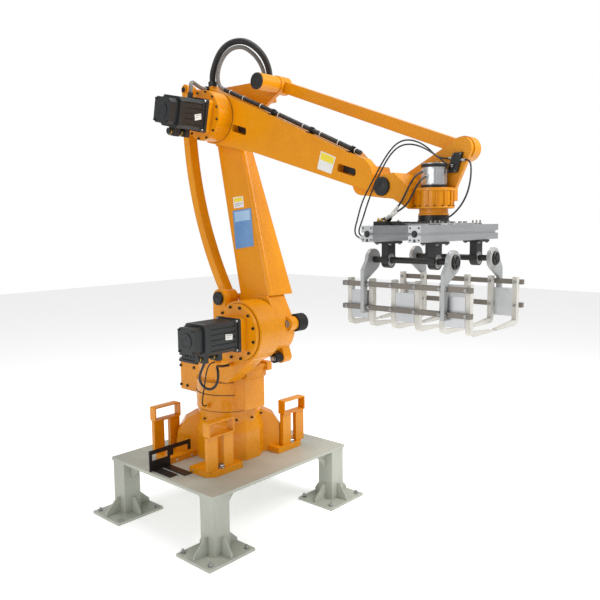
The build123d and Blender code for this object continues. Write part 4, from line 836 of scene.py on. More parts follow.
@dataclass(frozen=True)
class CameraSpec:
    """The photograph's camera.

    Args:
        place: where it stands.
        yaw: the heading in degrees, anticlockwise from +X.
        pitch: the angle below the horizon in degrees.
        roll: the turn about the view in degrees.
        focal_px: the focal length in pixels of the frame.
        frame_px: the frame's width in pixels.
    """

    place: Point = (3.0508, -2.7211, 1.7683)
    yaw: float = 132.02
    pitch: float = 6.666
    roll: float = -0.611
    focal_px: float = 671.075
    frame_px: float = 600.0

    def axes(self) -> tuple[Vector, Vector, Vector]:
        """The camera's right, up and forward directions."""
        yaw, pitch, roll = radians(self.yaw), radians(self.pitch), radians(self.roll)
        ahead = Vector((cos(yaw) * cos(pitch), sin(yaw) * cos(pitch), -sin(pitch)))
        right = ahead.cross(Vector((0, 0, 1))).normalized()
        up = right.cross(ahead)
        return right * cos(roll) + up * sin(roll), up * cos(roll) - right * sin(roll), ahead

    def ray(self, pixel: Point) -> Vector:
        """The direction from the camera through a pixel of the photograph.

        Args:
            pixel: the pixel (across, down).

        Returns:
            The direction, one long.
        """
        right, up, ahead = self.axes()
        middle = self.frame_px / 2
        across, down = (pixel[0] - middle) / self.focal_px, (pixel[1] - middle) / self.focal_px
        return (ahead + right * across - up * down).normalized()

    def build(self) -> bpy.types.Object:
        """Adds the camera and makes it the scene's camera.

        Returns:
            The camera object.
        """
        data = bpy.data.cameras.new("photo_camera")
        data.sensor_width = 36.0
        data.lens = self.focal_px / self.frame_px * data.sensor_width
        data.clip_end = 50.0
        right, up, ahead = self.axes()
        matrix = Matrix((right, up, -ahead)).transposed().to_4x4()
        matrix.translation = Vector(self.place)
        obj = bpy.data.objects.new("photo_camera", data)
        bpy.context.scene.collection.objects.link(obj)
        obj.matrix_world = matrix
        bpy.context.scene.camera = obj
        return obj


@dataclass(frozen=True)
class Seat:
    """A place on the surface of a node.

    Args:
        place: the point.
        normal: the way that the surface faces there.
    """

    place: Vector
    normal: Vector


class PhotoSeat:
    """Finds what lies behind a pixel of the photograph."""

    def __init__(self, camera: CameraSpec, nodes: dict[str, bpy.types.Object]) -> None:
        """Makes a search tree of each node's faces.

        Args:
            camera: the photograph's camera.
            nodes: the nodes' objects.
        """
        self.camera = camera
        self.trees = {}
        for name, obj in nodes.items():
            vertices = [v.co.copy() for v in obj.data.vertices]
            self.trees[name] = BVHTree.FromPolygons(vertices, [tuple(p.vertices) for p in obj.data.polygons])

    def hit(self, pixel: Point, node: str) -> Seat:
        """Casts a ray through a pixel onto a node.

        Args:
            pixel: the pixel (across, down).
            node: the node.

        Returns:
            The nearest seat on that node.

        Raises:
            ValueError: where the node isn't behind the pixel.
        """
        way = self.camera.ray(pixel)
        place, normal, _, _ = self.trees[node].ray_cast(Vector(self.camera.place), way)
        if place is None:
            raise ValueError(f"{node} isn't behind the pixel {pixel}")
        return Seat(place, normal if normal.dot(way) < 0 else -normal)


# Cords

ELBOW_HOSE_ROUTE: tuple[Point, ...] = (
    (0.0, -0.072, 2.576), (0.0, -0.072, 2.619), (0.008, -0.062, 2.662), (0.019, -0.05, 2.71),
    (0.046, -0.035, 2.757), (0.086, -0.015, 2.788), (0.132, 0.005, 2.797), (0.178, 0.022, 2.79),
    (0.221, 0.04, 2.766), (0.258, 0.057, 2.73), (0.282, 0.074, 2.69), (0.294, 0.092, 2.64),
    (0.291, 0.106, 2.588), (0.285, 0.112, 2.542), (0.285, 0.112, 2.498)
)
ELBOW_SLEEVE_ROUTE: tuple[Point, ...] = (
    (0.1065, -0.072, 2.5177), (0.076, -0.072, 2.5308), (0.052, -0.072, 2.557), (0.043, -0.071, 2.603),
    (0.047, -0.064, 2.65), (0.058, -0.05, 2.694), (0.079, -0.035, 2.73), (0.106, -0.015, 2.755),
    (0.139, 0.005, 2.763), (0.173, 0.022, 2.756), (0.2, 0.04, 2.735), (0.225, 0.057, 2.707),
    (0.243, 0.074, 2.672), (0.252, 0.092, 2.632), (0.25, 0.106, 2.584), (0.246, 0.112, 2.54),
    (0.246, 0.112, 2.498)
)
MOTOR_SLEEVE_ROUTE: tuple[Point, ...] = (
    (-0.006, -0.118, 2.531), (-0.006, -0.146, 2.531), (0.0, -0.18, 2.538), (0.013, -0.214, 2.546),
    (0.031, -0.246, 2.547), (0.051, -0.273, 2.535), (0.0666, -0.286, 2.5112), (0.0601, -0.286, 2.4819)
)
WRIST_CABLE_LONG_ROUTE: tuple[Point, ...] = (
    (1.48, 0.051, 2.047), (1.462, 0.051, 2.047), (1.446, 0.042, 2.05), (1.437, 0.024, 2.056),
    (1.436, -0.002, 2.063), (1.443, -0.038, 2.071), (1.449, -0.074, 2.081), (1.446, -0.106, 2.095),
    (1.431, -0.138, 2.11), (1.408, -0.164, 2.119), (1.383, -0.186, 2.117), (1.361, -0.203, 2.103),
    (1.343, -0.22, 2.078), (1.328, -0.24, 2.044), (1.314, -0.258, 2.006), (1.298, -0.273, 1.964),
    (1.277, -0.29, 1.914), (1.258, -0.308, 1.862), (1.248, -0.322, 1.812), (1.244, -0.333, 1.77),
    (1.237, -0.338, 1.742), (1.236, -0.34, 1.719), (1.246, -0.34, 1.7), (1.265, -0.34, 1.694)
)
WRIST_CABLE_SHORT_ROUTE: tuple[Point, ...] = (
    (1.502, 0.028, 2.012), (1.502, 0.01, 2.012), (1.5, -0.012, 2.018), (1.493, -0.034, 2.031),
    (1.482, -0.058, 2.048), (1.466, -0.086, 2.067), (1.447, -0.113, 2.084), (1.424, -0.139, 2.097),
    (1.398, -0.163, 2.102), (1.373, -0.185, 2.096), (1.353, -0.203, 2.078), (1.339, -0.222, 2.052),
    (1.327, -0.241, 2.018), (1.314, -0.257, 1.98), (1.3, -0.271, 1.938), (1.284, -0.286, 1.886),
    (1.27, -0.299, 1.832), (1.258, -0.308, 1.782), (1.246, -0.313, 1.748), (1.238, -0.315, 1.722),
    (1.247, -0.315, 1.703), (1.266, -0.315, 1.697)
)
TOOL_LOOP_CABLE_ROUTE: tuple[Point, ...] = (
    (1.552, 0.051, 2.036), (1.57, 0.051, 2.036), (1.589, 0.04, 2.024), (1.605, 0.02, 1.998),
    (1.617, -0.004, 1.958), (1.623, -0.03, 1.908), (1.619, -0.056, 1.86), (1.604, -0.079, 1.82),
    (1.58, -0.098, 1.788), (1.545, -0.111, 1.768), (1.5, -0.119, 1.759), (1.452, -0.126, 1.757),
    (1.408, -0.136, 1.758), (1.376, -0.154, 1.76), (1.357, -0.17, 1.758)
)
LEAD_REAR_ROUTE: tuple[Point, ...] = (
    (1.409, -0.066, 1.985), (1.402, -0.09, 1.977), (1.396, -0.112, 1.96), (1.388, -0.126, 1.936),
    (1.375, -0.132, 1.908), (1.359, -0.133, 1.88), (1.342, -0.132, 1.852), (1.322, -0.132, 1.829)
)
LEAD_FRONT_ROUTE: tuple[Point, ...] = (
    (1.43, -0.07, 1.962), (1.428, -0.093, 1.956), (1.424, -0.113, 1.939), (1.415, -0.127, 1.914),
    (1.405, -0.136, 1.888), (1.396, -0.146, 1.861), (1.384, -0.157, 1.837), (1.366, -0.166, 1.82),
    (1.341, -0.169, 1.806)
)
SHOULDER_CABLE_ROUTE: tuple[Point, ...] = (
    (0.3703, -0.4531, 1.067), (0.3703, -0.4721, 1.067), (0.37, -0.487, 1.056), (0.363, -0.493, 1.033),
    (0.348, -0.496, 1.004), (0.33, -0.496, 0.974), (0.316, -0.49, 0.94), (0.324, -0.478, 0.906),
    (0.358, -0.467, 0.888), (0.396, -0.459, 0.9), (0.416, -0.45, 0.934), (0.41, -0.438, 0.974),
    (0.384, -0.421, 0.996), (0.35, -0.396, 1), (0.322, -0.364, 0.994), (0.302, -0.33, 0.984),
    (0.29, -0.302, 0.978), (0.286, -0.28, 0.976), (0.286, -0.254, 0.976)
)
DROP_CABLE_ROUTE: tuple[Point, ...] = (
    (0.176, -0.262, 0.98), (0.176, -0.281, 0.98), (0.17, -0.296, 0.97), (0.156, -0.3, 0.946),
    (0.138, -0.294, 0.914), (0.118, -0.285, 0.876), (0.098, -0.276, 0.834), (0.08, -0.269, 0.792),
    (0.066, -0.265, 0.752), (0.056, -0.262, 0.724), (0.05, -0.254, 0.704), (0.047, -0.238, 0.694),
    (0.044, -0.221, 0.692)
)


@dataclass(frozen=True)
class CordSpec:
    """One free cord.

    Args:
        node: the CAD node that it replaces.
        body: the body that it rides on.
        route: the control points of its line.
        diameter: its diameter.
        length: its real length.
        finish: its finish.
        slot: the material slot.
        stiffness: limp, medium or stiff.
        far_end: what its far end is.
        pitch: the distance between two ribs, or 0 for a plain jacket.
        depth: how deep the ribs are.
        other: the body that its far end goes to, where it crosses a joint.
        span: the places between which it turns from one body to the other.
    """

    node: str
    body: str
    route: tuple[Point, ...]
    diameter: float
    length: float
    finish: Finish
    slot: str = "cable_black"
    stiffness: str = "medium"
    far_end: str = "object"
    pitch: float = 0.0
    depth: float = 0.0
    other: str = ""
    span: tuple[Point, ...] = ()


def spline_points(name: str, route: Sequence[Point]) -> list[Vector]:
    """The points along the smooth line that a route's control points give.

    Args:
        name: a name for the line.
        route: the line's control points.

    Returns:
        The points, in order.
    """
    curve = bpy.data.curves.new(name + "_line", "CURVE")
    curve.dimensions = "3D"
    curve.resolution_u = 10
    spline = curve.splines.new("NURBS")
    spline.points.add(len(route) - 1)
    for point, place in zip(spline.points, route):
        point.co = (*place, 1.0)
    spline.order_u = 3
    spline.use_endpoint_u = True
    holder = bpy.data.objects.new(name + "_line", curve)
    mesh = bpy.data.meshes.new_from_object(holder)
    points = [v.co.copy() for v in mesh.vertices]
    bpy.data.objects.remove(holder)
    bpy.data.curves.remove(curve)
    bpy.data.meshes.remove(mesh)
    return points


def resampled(points: Sequence[Vector], step: float) -> list[Vector]:
    """The same line with its points an even step apart.

    Args:
        points: the line.
        step: about how far apart the new points are.

    Returns:
        The new points, both ends included.
    """
    marks = [0.0]
    for before, after in zip(points, points[1:]):
        marks.append(marks[-1] + (after - before).length)
    count = max(2, round(marks[-1] / step))
    made, index = [], 0
    for i in range(count + 1):
        goal = marks[-1] * i / count
        while index < len(marks) - 2 and marks[index + 1] < goal:
            index += 1
        share = (goal - marks[index]) / max(marks[index + 1] - marks[index], 1e-9)
        made.append(points[index].lerp(points[index + 1], min(share, 1.0)))
    return made


@dataclass
class CordSet:
    """Makes the hoses and cables, and declares each one.

    Args:
        palette: the materials.
        plug_node: the node of the leads' plugs.
        plug_length: a plug's length.
        plug_grips: how many grip ribs a plug has.
        plain_step: the distance between two points of a plain cable's line.
        rib_waves: how high a ribbed jacket stands at each quarter of a rib.
    """

    palette: Palette
    plug_node: str = "lead_plugs"
    plug_length: float = 0.062
    plug_grips: int = 10
    plain_step: float = 0.008
    rib_waves: tuple[float, ...] = (0.0, 0.75, 1.0, 0.75)

    def specs(self) -> tuple[CordSpec, ...]:
        """What each cord is."""
        turn = ((1.43, 0.0, 2.03), (1.43, 0.0, 1.79))
        loop = (ELBOW_HOSE_ROUTE[1], ELBOW_HOSE_ROUTE[-2])
        return (
            CordSpec("elbow_hose", "upper_arm", ELBOW_HOSE_ROUTE, 0.036, 0.70, HOSE_BLACK, "hose_black",
                     "stiff", pitch=0.0075, depth=0.0022, other="link_plate", span=loop),
            CordSpec("elbow_sleeve", "upper_arm", ELBOW_SLEEVE_ROUTE, 0.024, 0.67, BRAID_GREY, "sleeve_grey",
                     pitch=0.016, depth=0.0016, other="link_plate", span=loop),
            CordSpec("motor_sleeve", "upper_arm", MOTOR_SLEEVE_ROUTE, 0.022, 0.23, BRAID_GREY, "sleeve_grey",
                     pitch=0.005, depth=0.0008),
            CordSpec("wrist_cable_long", "wrist", WRIST_CABLE_LONG_ROUTE, 0.007, 0.80, CABLE_BLACK,
                     other="gripper", span=turn),
            CordSpec("wrist_cable_short", "wrist", WRIST_CABLE_SHORT_ROUTE, 0.007, 0.74, CABLE_BLACK,
                     other="gripper", span=turn),
            CordSpec("tool_loop_cable", "wrist", TOOL_LOOP_CABLE_ROUTE, 0.008, 0.57, CABLE_BLACK,
                     other="gripper", span=turn),
            CordSpec("lead_rear", "wrist", LEAD_REAR_ROUTE, 0.009, 0.21, CABLE_BLACK, far_end="plug",
                     other="gripper", span=turn),
            CordSpec("lead_front", "wrist", LEAD_FRONT_ROUTE, 0.009, 0.22, CABLE_BLACK, far_end="plug",
                     other="gripper", span=turn),
            CordSpec("shoulder_cable", "column", SHOULDER_CABLE_ROUTE, 0.014, 0.60, CABLE_BLACK),
            CordSpec("drop_cable", "column", DROP_CABLE_ROUTE, 0.008, 0.37, CABLE_BLACK),
        )

    def build(self) -> None:
        """Adds the cords and the plugs of the leads."""
        for spec in self.specs():
            self._cord(spec)

    def _plug(self, spec: CordSpec) -> bpy.types.Object:
        """Adds the pale plug at the end of a lead.

        Args:
            spec: the lead.

        Returns:
            The plug.
        """
        end, before = Vector(spec.route[-1]), Vector(spec.route[-2])
        place = frame_at(end, end - before)
        builder = Builder(self.palette)
        total = self.plug_length
        builder.revolve([(spec.diameter * 0.5, -0.006), (0.0066, -0.004), (0.0072, 0.012), (0.0086, 0.014),
                         (0.0086, 0.030), (0.0078, 0.031), (0.0078, 0.034), (0.009, 0.035),
                         (0.009, total - 0.014), (0.0082, total - 0.013), (0.0082, total), (0.0, total)],
                        place, PLUG_WHITE, 24)
        for i in range(self.plug_grips):
            turned = place @ Matrix.Rotation(tau * i / self.plug_grips, 4, "Z")
            rib = turned @ Matrix.Translation((0.0088, 0.0, 0.037))
            builder.box((0.0016, 0.002, total - 0.055), rib, BARE_STEEL, 0.0003)
        piece = builder.finish_piece(spec.node + "_plug", "gripper")
        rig.replaces(piece, self.plug_node)
        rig.slot(piece, "aluminium")
        return piece

    def _cord(self, spec: CordSpec) -> None:
        """Adds one cord as a tube along its line.

        Args:
            spec: the cord.
        """
        line = spline_points(spec.node, spec.route)
        radius = spec.diameter / 2
        builder = Builder(self.palette)
        if spec.pitch > 0:
            waves = self.rib_waves
            path = resampled(line, spec.pitch / len(waves))
            builder.tube(path, lambda i: radius - spec.depth * (1 - waves[i % len(waves)]), spec.finish, 20)
        else:
            path = resampled(line, self.plain_step)
            builder.tube(path, lambda i: radius, spec.finish, 14)
        pieces = [self._plug(spec)] if spec.far_end == "plug" else []
        piece = builder.make(spec.node + "_jacket", 60.0)
        if spec.other:
            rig.blend(piece, spec.body, spec.other, *spec.span)
        else:
            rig.ride(piece, spec.body)
        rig.replaces(piece, spec.node)
        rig.slot(piece, spec.slot)
        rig.cord(piece, exit=spec.route[0], length=spec.length, diameter=spec.diameter, far_end=spec.far_end,
                stiffness=spec.stiffness, lay="loose", path=path, with_pieces=pieces)
        log.info("cord %s", spec.node)


# Fastener patterns

@dataclass(frozen=True)
class BoltRing:
    """Screws on a circle.

    Args:
        name: the piece's name.
        body: the body that carries it.
        centre: the circle's centre, on the clamped face.
        axis: the way the face looks.
        radius: the circle's radius, or 0 for one screw at its centre.
        count: how many screws.
        size: the thread's diameter.
        phase: the turn of the first screw, in degrees.
        hexagon: whether they are hexagon bolts, not socket screws.
        finish: their finish.
    """

    name: str
    body: str
    centre: Point
    axis: Point
    radius: float
    count: int
    size: float
    phase: float = 0.0
    hexagon: bool = False
    finish: Finish = DARK_STEEL

    def build(self, palette: Palette) -> None:
        """Adds the screws as one piece."""
        builder = Builder(palette)
        place = frame_at(self.centre, self.axis)
        add = builder.bolt if self.hexagon else builder.socket_screw
        for i in range(self.count):
            turn = radians(self.phase) + tau * (i / self.count)
            spot = place @ Matrix.Rotation(turn, 4, "Z") @ Matrix.Translation((self.radius, 0, 0))
            add(spot, self.size, self.finish)
        builder.finish_piece(self.name, self.body)


@dataclass(frozen=True)
class Ring:
    """A band round a turned form, such as a seam, a lip or a cap's rim.

    Args:
        name: the piece's name.
        body: the body that carries it.
        centre: the middle of its foot.
        axis: the way it rises.
        profile: (radius, height) pairs of its section.
        finish: its finish.
        steps: how many steps go round.
    """

    name: str
    body: str
    centre: Point
    axis: Point
    profile: tuple[Point, ...]
    finish: Finish
    steps: int = 64

    def build(self, palette: Palette) -> None:
        """Adds the band."""
        builder = Builder(palette)
        builder.revolve(self.profile, frame_at(self.centre, self.axis), self.finish, self.steps)
        builder.finish_piece(self.name, self.body)


def build_all(parts: Iterable[BoltRing | Ring], palette: Palette) -> None:
    """Adds rings of screws and bands, in order.

    Args:
        parts: the rings and bands.
        palette: the materials.
    """
    for part in parts:
        part.build(palette)


def band(radius: float, rise: float, proud: float) -> tuple[Point, ...]:
    """The section of a thin band with softened corners.

    Args:
        radius: the radius of the form that it lies on.
        rise: its width along the axis.
        proud: how far it stands out of the form.

    Returns:
        Its (radius, height) pairs.
    """
    sunk, softness = 0.002, 0.3
    inner, soft = radius - sunk, min(rise, proud) * softness
    return ((inner, 0.0), (radius + proud - soft, 0.0), (radius + proud, soft), (radius + proud, rise - soft),
            (radius + proud - soft, rise), (inner, rise), (inner, 0.0))


def cap_profile(radius: float, rise: float) -> tuple[Point, ...]:
    """The section of a pressed cap: a rim, a shallow dish and a raised middle.

    Args:
        radius: the radius of the form that it closes.
        rise: the height of its rim.

    Returns:
        Its (radius, height) pairs.
    """
    return ((radius * 0.98, 0.0), (radius * 0.98, rise * 0.55), (radius * 0.92, rise), (radius * 0.78, rise),
            (radius * 0.74, rise * 0.6), (radius * 0.3, rise * 0.6), (radius * 0.26, rise * 0.85),
            (0.0, rise * 0.85))


# Labels placed on the surface behind their pixels

@dataclass(frozen=True)
class LabelSpec:
    """A blank label or plate.

    Args:
        name: the piece's name.
        node: the node that it is stuck to.
        body: that node's body.
        corners: the pixels of its corners, clockwise from the upper left.
        finish: its ground.
        areas: printed areas, each as low and high shares across and down, and a finish.
        thick: its thickness.
        layer: how far each printed area stands over the one below.
        sunk: how far its edge goes into the surface.
    """

    name: str
    node: str
    body: str
    corners: tuple[Point, ...]
    finish: Finish
    areas: tuple[tuple[float, float, float, float, Finish], ...] = ()
    thick: float = 0.0006
    layer: float = 0.00025
    sunk: float = 0.0004

    def build(self, palette: Palette, seats: PhotoSeat) -> None:
        """Adds the label on the surface behind its pixels.

        Args:
            palette: the materials.
            seats: finds the surface.
        """
        hits = [seats.hit(pixel, self.node) for pixel in self.corners]
        middle = sum((h.place for h in hits), Vector()) / len(hits)
        normal = sum((h.normal for h in hits), Vector()).normalized()
        flat = [h.place - normal * (h.place - middle).dot(normal) for h in hits]
        lift = max((h.place - middle).dot(normal) for h in hits)

        def at(across: float, down: float, rise: float) -> Vector:
            """The point at two shares of the label and a height over its highest corner."""
            top, foot = flat[0].lerp(flat[1], across), flat[3].lerp(flat[2], across)
            return top.lerp(foot, down) + normal * (lift + rise)

        builder = Builder(palette)
        panels = [(0.0, 0.0, 1.0, 1.0, self.finish), *self.areas]
        for level, (low_x, low_y, high_x, high_y, finish) in enumerate(panels):
            rise = self.thick + self.layer * level
            spots = ((low_x, low_y), (high_x, low_y), (high_x, high_y), (low_x, high_y))
            upper = [at(a, d, rise) for a, d in spots]
            lower = [at(a, d, -lift * 2 - self.sunk) for a, d in spots]
            builder.face(upper, finish)
            for i in range(4):
                j = (i + 1) % 4
                builder.face([lower[i], lower[j], upper[j], upper[i]], finish)
        builder.finish_piece(self.name, self.body)


@dataclass
class PhotoMarks:
    """The labels that the photograph shows.

    Args:
        palette: the materials.
        seats: finds the surface behind a pixel.
    """

    palette: Palette
    seats: PhotoSeat

    def labels(self) -> tuple[LabelSpec, ...]:
        """The labels, all blank."""
        plate_lines = ((0.1, 0.15, 0.9, 0.3, LABEL_GREY), (0.1, 0.5, 0.6, 0.62, LABEL_GREY))
        return (
            LabelSpec("arm_blue_plate", "lower_arm", "lower_arm",
                      ((233.0, 211.0), (251.0, 208.0), (254.0, 246.0), (236.0, 249.0)), LABEL_BLUE,
                      ((0.08, 0.04, 0.92, 0.3, LABEL_SKY),), 0.0012),
            LabelSpec("arm_small_label", "lower_arm", "lower_arm",
                      ((233.0, 197.5), (243.0, 196.0), (244.0, 207.0), (234.0, 208.5)), LABEL_WHITE,
                      ((0.08, 0.08, 0.92, 0.45, LABEL_YELLOW), (0.12, 0.6, 0.88, 0.68, LABEL_GREY),
                       (0.12, 0.78, 0.7, 0.85, LABEL_GREY))),
            LabelSpec("elbow_motor_label", "elbow_motor", "upper_arm",
                      ((194.0, 114.5), (201.0, 113.5), (201.3, 119.5), (194.5, 120.5)), LABEL_WHITE,
                      plate_lines),
            LabelSpec("shoulder_motor_label", "shoulder_motor", "column",
                      ((225.5, 334.5), (232.5, 334.0), (232.5, 339.6), (225.5, 340.2)), LABEL_WHITE,
                      plate_lines),
        )

    def build(self) -> None:
        """Adds the labels."""
        for label in self.labels():
            try:
                label.build(self.palette, self.seats)
            except ValueError as problem:
                log.warning("label %s left out: %s", label.name, problem)


# Servo motors

@dataclass(frozen=True)
class MotorDetails:
    """What the CAD leaves out of a servo motor.

    Args:
        name: a name for the pieces.
        body: the body that carries the motor.
        seat: the middle of its flange's rear face.
        axis: the way it points.
        top: the way its plain side faces; its sockets face the other way.
        length: the length of its ribbed body.
        flange_half: half the width of its flange.
        flange_depth: the flange's thickness.
        flange_inset: how far the flange's screws are from its edges.
        flange_screw: the thread of those screws.
        cap_half: half the width of its end cap.
        cap_length: the end cap's length.
        cap_inset: how far the cap's screws are from its edges.
        cap_screw: the thread of those screws.
        lid_radius: the radius of the pressed lid on the cap.
        lid_rise: the height of that lid.
        body_half: half the width of its body, with the ribs.
        socket_half: half the width of a socket.
        socket_height: how far a socket stands out.
        socket_shares: where the sockets sit along the body.
        plug_radius: the radius of the plugs.
        collar_ribs: how many grip ribs a plug's collar has.
    """

    name: str
    body: str
    seat: Point
    axis: Point
    top: Point
    length: float
    flange_half: float = 0.09
    flange_depth: float = 0.016
    flange_inset: float = 0.013
    flange_screw: float = 0.011
    cap_half: float = 0.068
    cap_length: float = 0.055
    cap_inset: float = 0.012
    cap_screw: float = 0.007
    lid_radius: float = 0.042
    lid_rise: float = 0.005
    body_half: float = 0.082
    socket_half: float = 0.029
    socket_height: float = 0.046
    socket_shares: tuple[float, float] = (0.36, 0.78)
    plug_radius: float = 0.017
    collar_ribs: int = 18

    def frame(self) -> Matrix:
        """The motor's frame: +Z along its axis, +X to its plain side."""
        return frame_at(self.seat, self.axis, self.top)

    def build(self, palette: Palette) -> None:
        """Adds the screws, the lid and the connectors."""
        place = self.frame()
        builder = Builder(palette)
        end = self.flange_depth + self.length + self.cap_length
        rows = ((self.flange_half - self.flange_inset, self.flange_depth, self.flange_screw, BARE_STEEL),
                (self.cap_half - self.cap_inset, end, self.cap_screw, DARK_STEEL))
        for reach, level, thread, finish in rows:
            for side_x in SIDES:
                for side_y in SIDES:
                    spot = place @ Matrix.Translation((side_x * reach, side_y * reach, level))
                    builder.socket_screw(spot, thread, finish)
        lid = place @ Matrix.Translation((0, 0, end))
        builder.revolve(cap_profile(self.lid_radius, self.lid_rise), lid, MOTOR_BLACK, 40)
        builder.finish_piece(self.name + "_screws", self.body)
        self._connectors(palette, place)

    def _connectors(self, palette: Palette, place: Matrix) -> None:
        """Adds the ribbed collars of the two plugs.

        Args:
            palette: the materials.
            place: the motor's frame.
        """
        builder = Builder(palette)
        deep = -self.body_half - self.socket_height / 2
        radius = self.plug_radius
        profile = [(radius * 0.6, -0.022), (radius + 0.0012, -0.022), (radius + 0.0022, -0.020),
                   (radius + 0.0022, -0.010), (radius + 0.0012, -0.008), (radius * 0.6, -0.008)]
        side = Vector(FAR) * self._side()
        for share in self.socket_shares:
            along = self.flange_depth + share * self.length
            tip = along + self.socket_half / 2 + radius
            collar = place @ Matrix.Translation((deep, 0.0, 0.0)) @ Matrix.Translation((0, 0, tip))
            collar = collar @ Matrix.Translation(side * self.socket_half / 3)
            builder.revolve(profile, collar, BRASS, 24)
            for i in range(self.collar_ribs):
                turned = collar @ Matrix.Rotation(tau * i / self.collar_ribs, 4, "Z")
                spot = turned @ Matrix.Translation((radius + 0.0018, 0, -0.0195))
                builder.box((0.002, 0.0022, 0.009), spot, BRASS, 0.0003)
        builder.finish_piece(self.name + "_collars", self.body)

    def _side(self) -> float:
        """On which side of the sockets the plugs sit, in the motor's frame."""
        first = self.frame() @ Vector(FAR) - self.frame() @ Vector((0, 0, 0))
        return -1.0 if first.x > 0 else 1.0


# Sub-assemblies

@dataclass
class TableDetails:
    """Anchors in the feet and weld beads on the legs.

    Args:
        palette: the materials.
        legs: the nodes of the legs.
        anchor_size: the thread of the floor anchors.
        foot_inset: how far an anchor is from the edges of its foot plate.
        foot_top: the height of the foot plates.
        leg_width: the width of a leg's tube.
        underside: the height of the underside of the table plate.
        bead_steps: how many steps a bead has along one side.
        bead_radius: the radius of a bead between its ripples.
        bead_ripple: how far a ripple stands out.
    """

    palette: Palette
    legs: tuple[str, ...] = ("leg_front_near", "leg_front_far", "leg_rear_near", "leg_rear_far")
    anchor_size: float = 0.014
    foot_inset: float = 0.032
    foot_top: float = 0.016
    leg_width: float = 0.11
    underside: float = 0.332
    bead_steps: int = 28
    bead_radius: float = 0.0034
    bead_ripple: float = 0.0008

    def build(self) -> None:
        """Adds the pieces."""
        size = self.anchor_size
        thread = [(size * 0.42, 0.0), (size * 0.42, 0.020), (size * 0.34, 0.022), (0.0, 0.022)]
        for leg in self.legs:
            low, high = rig.box(leg)
            builder = Builder(self.palette)
            for x in (low[0] + self.foot_inset, high[0] - self.foot_inset):
                for y in (low[1] + self.foot_inset, high[1] - self.foot_inset):
                    spot = (x, y, self.foot_top)
                    builder.bolt(frame_at(spot, UP, (1, 0.3, 0)), size)
                    builder.revolve(thread, frame_at(spot, UP), BARE_STEEL, 12)
            builder.finish_piece(leg + "_anchors", "stand")
            self._welds(leg, (low[0] + high[0]) / 2, (low[1] + high[1]) / 2)

    def _welds(self, leg: str, x: float, y: float) -> None:
        """Adds beads round a tube, at its foot and under the table.

        Args:
            leg: the leg's node.
            x: the middle of the tube along X.
            y: the middle of the tube along Y.
        """
        half = self.leg_width / 2
        steps = self.bead_steps
        builder = Builder(self.palette)
        for z in (self.foot_top + 0.001, self.underside - 0.001):
            corners = [Vector((x - half, y - half, z)), Vector((x + half, y - half, z)),
                       Vector((x + half, y + half, z)), Vector((x - half, y + half, z))]
            for start, end in zip(corners, corners[1:] + corners[:1]):
                line = [start.lerp(end, i / steps) for i in range(steps + 1)]
                builder.tube(line, lambda i: self.bead_radius + self.bead_ripple * (i % 2), TABLE_GREY, 8)
        builder.finish_piece(leg + "_welds", "stand", 60.0)


@dataclass
class BaseDetails:
    """Lug bolts, the seam of the base and the screws of the cable bracket.

    Args:
        palette: the materials.
        lug_top: the height of the plates at the lugs' feet.
        bolt_x: how far the lug bolts are from the axis along X.
        bolt_y: how far they are from it along Y.
        lug_thread: the thread of the lug bolts.
        seam_z: the height of the seam at the top of the neck.
        neck_radius: the radius of the neck.
        screw_z: the height of the screws round the neck's foot.
        screw_circle: the radius of their circle.
        bracket_shares: where the bracket's screws sit along it.
        bracket_insets: how far their rows are below its top and above its foot.
    """

    palette: Palette
    lug_top: float = 0.385
    bolt_x: float = 0.244
    bolt_y: float = 0.293
    lug_thread: float = 0.024
    seam_z: float = 0.650
    neck_radius: float = 0.194
    screw_z: float = 0.598
    screw_circle: float = 0.203
    bracket_shares: tuple[float, ...] = (0.15, 0.5, 0.85)
    bracket_insets: tuple[float, float] = (0.012, 0.016)

    def build(self) -> None:
        """Adds the pieces."""
        builder = Builder(self.palette)
        for side_x in SIDES:
            for side_y in SIDES:
                spot = (side_x * self.bolt_x, side_y * self.bolt_y, self.lug_top)
                builder.bolt(frame_at(spot, UP, (1, 0.2 * side_x, 0)), self.lug_thread)
        builder.finish_piece("lug_bolts", "stand")
        build_all((
            Ring("base_neck_seam", "stand", (0, 0, self.seam_z), UP, band(self.neck_radius, 0.005, 0.0012),
                 SATIN_BLACK),
            BoltRing("base_neck_screws", "stand", (0, 0, self.screw_z), UP, self.screw_circle, 12, 0.009,
                     15.0),
        ), self.palette)
        low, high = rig.box("cable_bracket")
        from_top, from_foot = self.bracket_insets
        builder = Builder(self.palette)
        for share in self.bracket_shares:
            y = low[1] + (high[1] - low[1]) * share
            for z in (high[2] - from_top, low[2] + from_foot):
                builder.socket_screw(frame_at((high[0] - 0.0005, y, z), FORE), 0.006, BARE_STEEL)
        builder.finish_piece("bracket_screws", "stand")


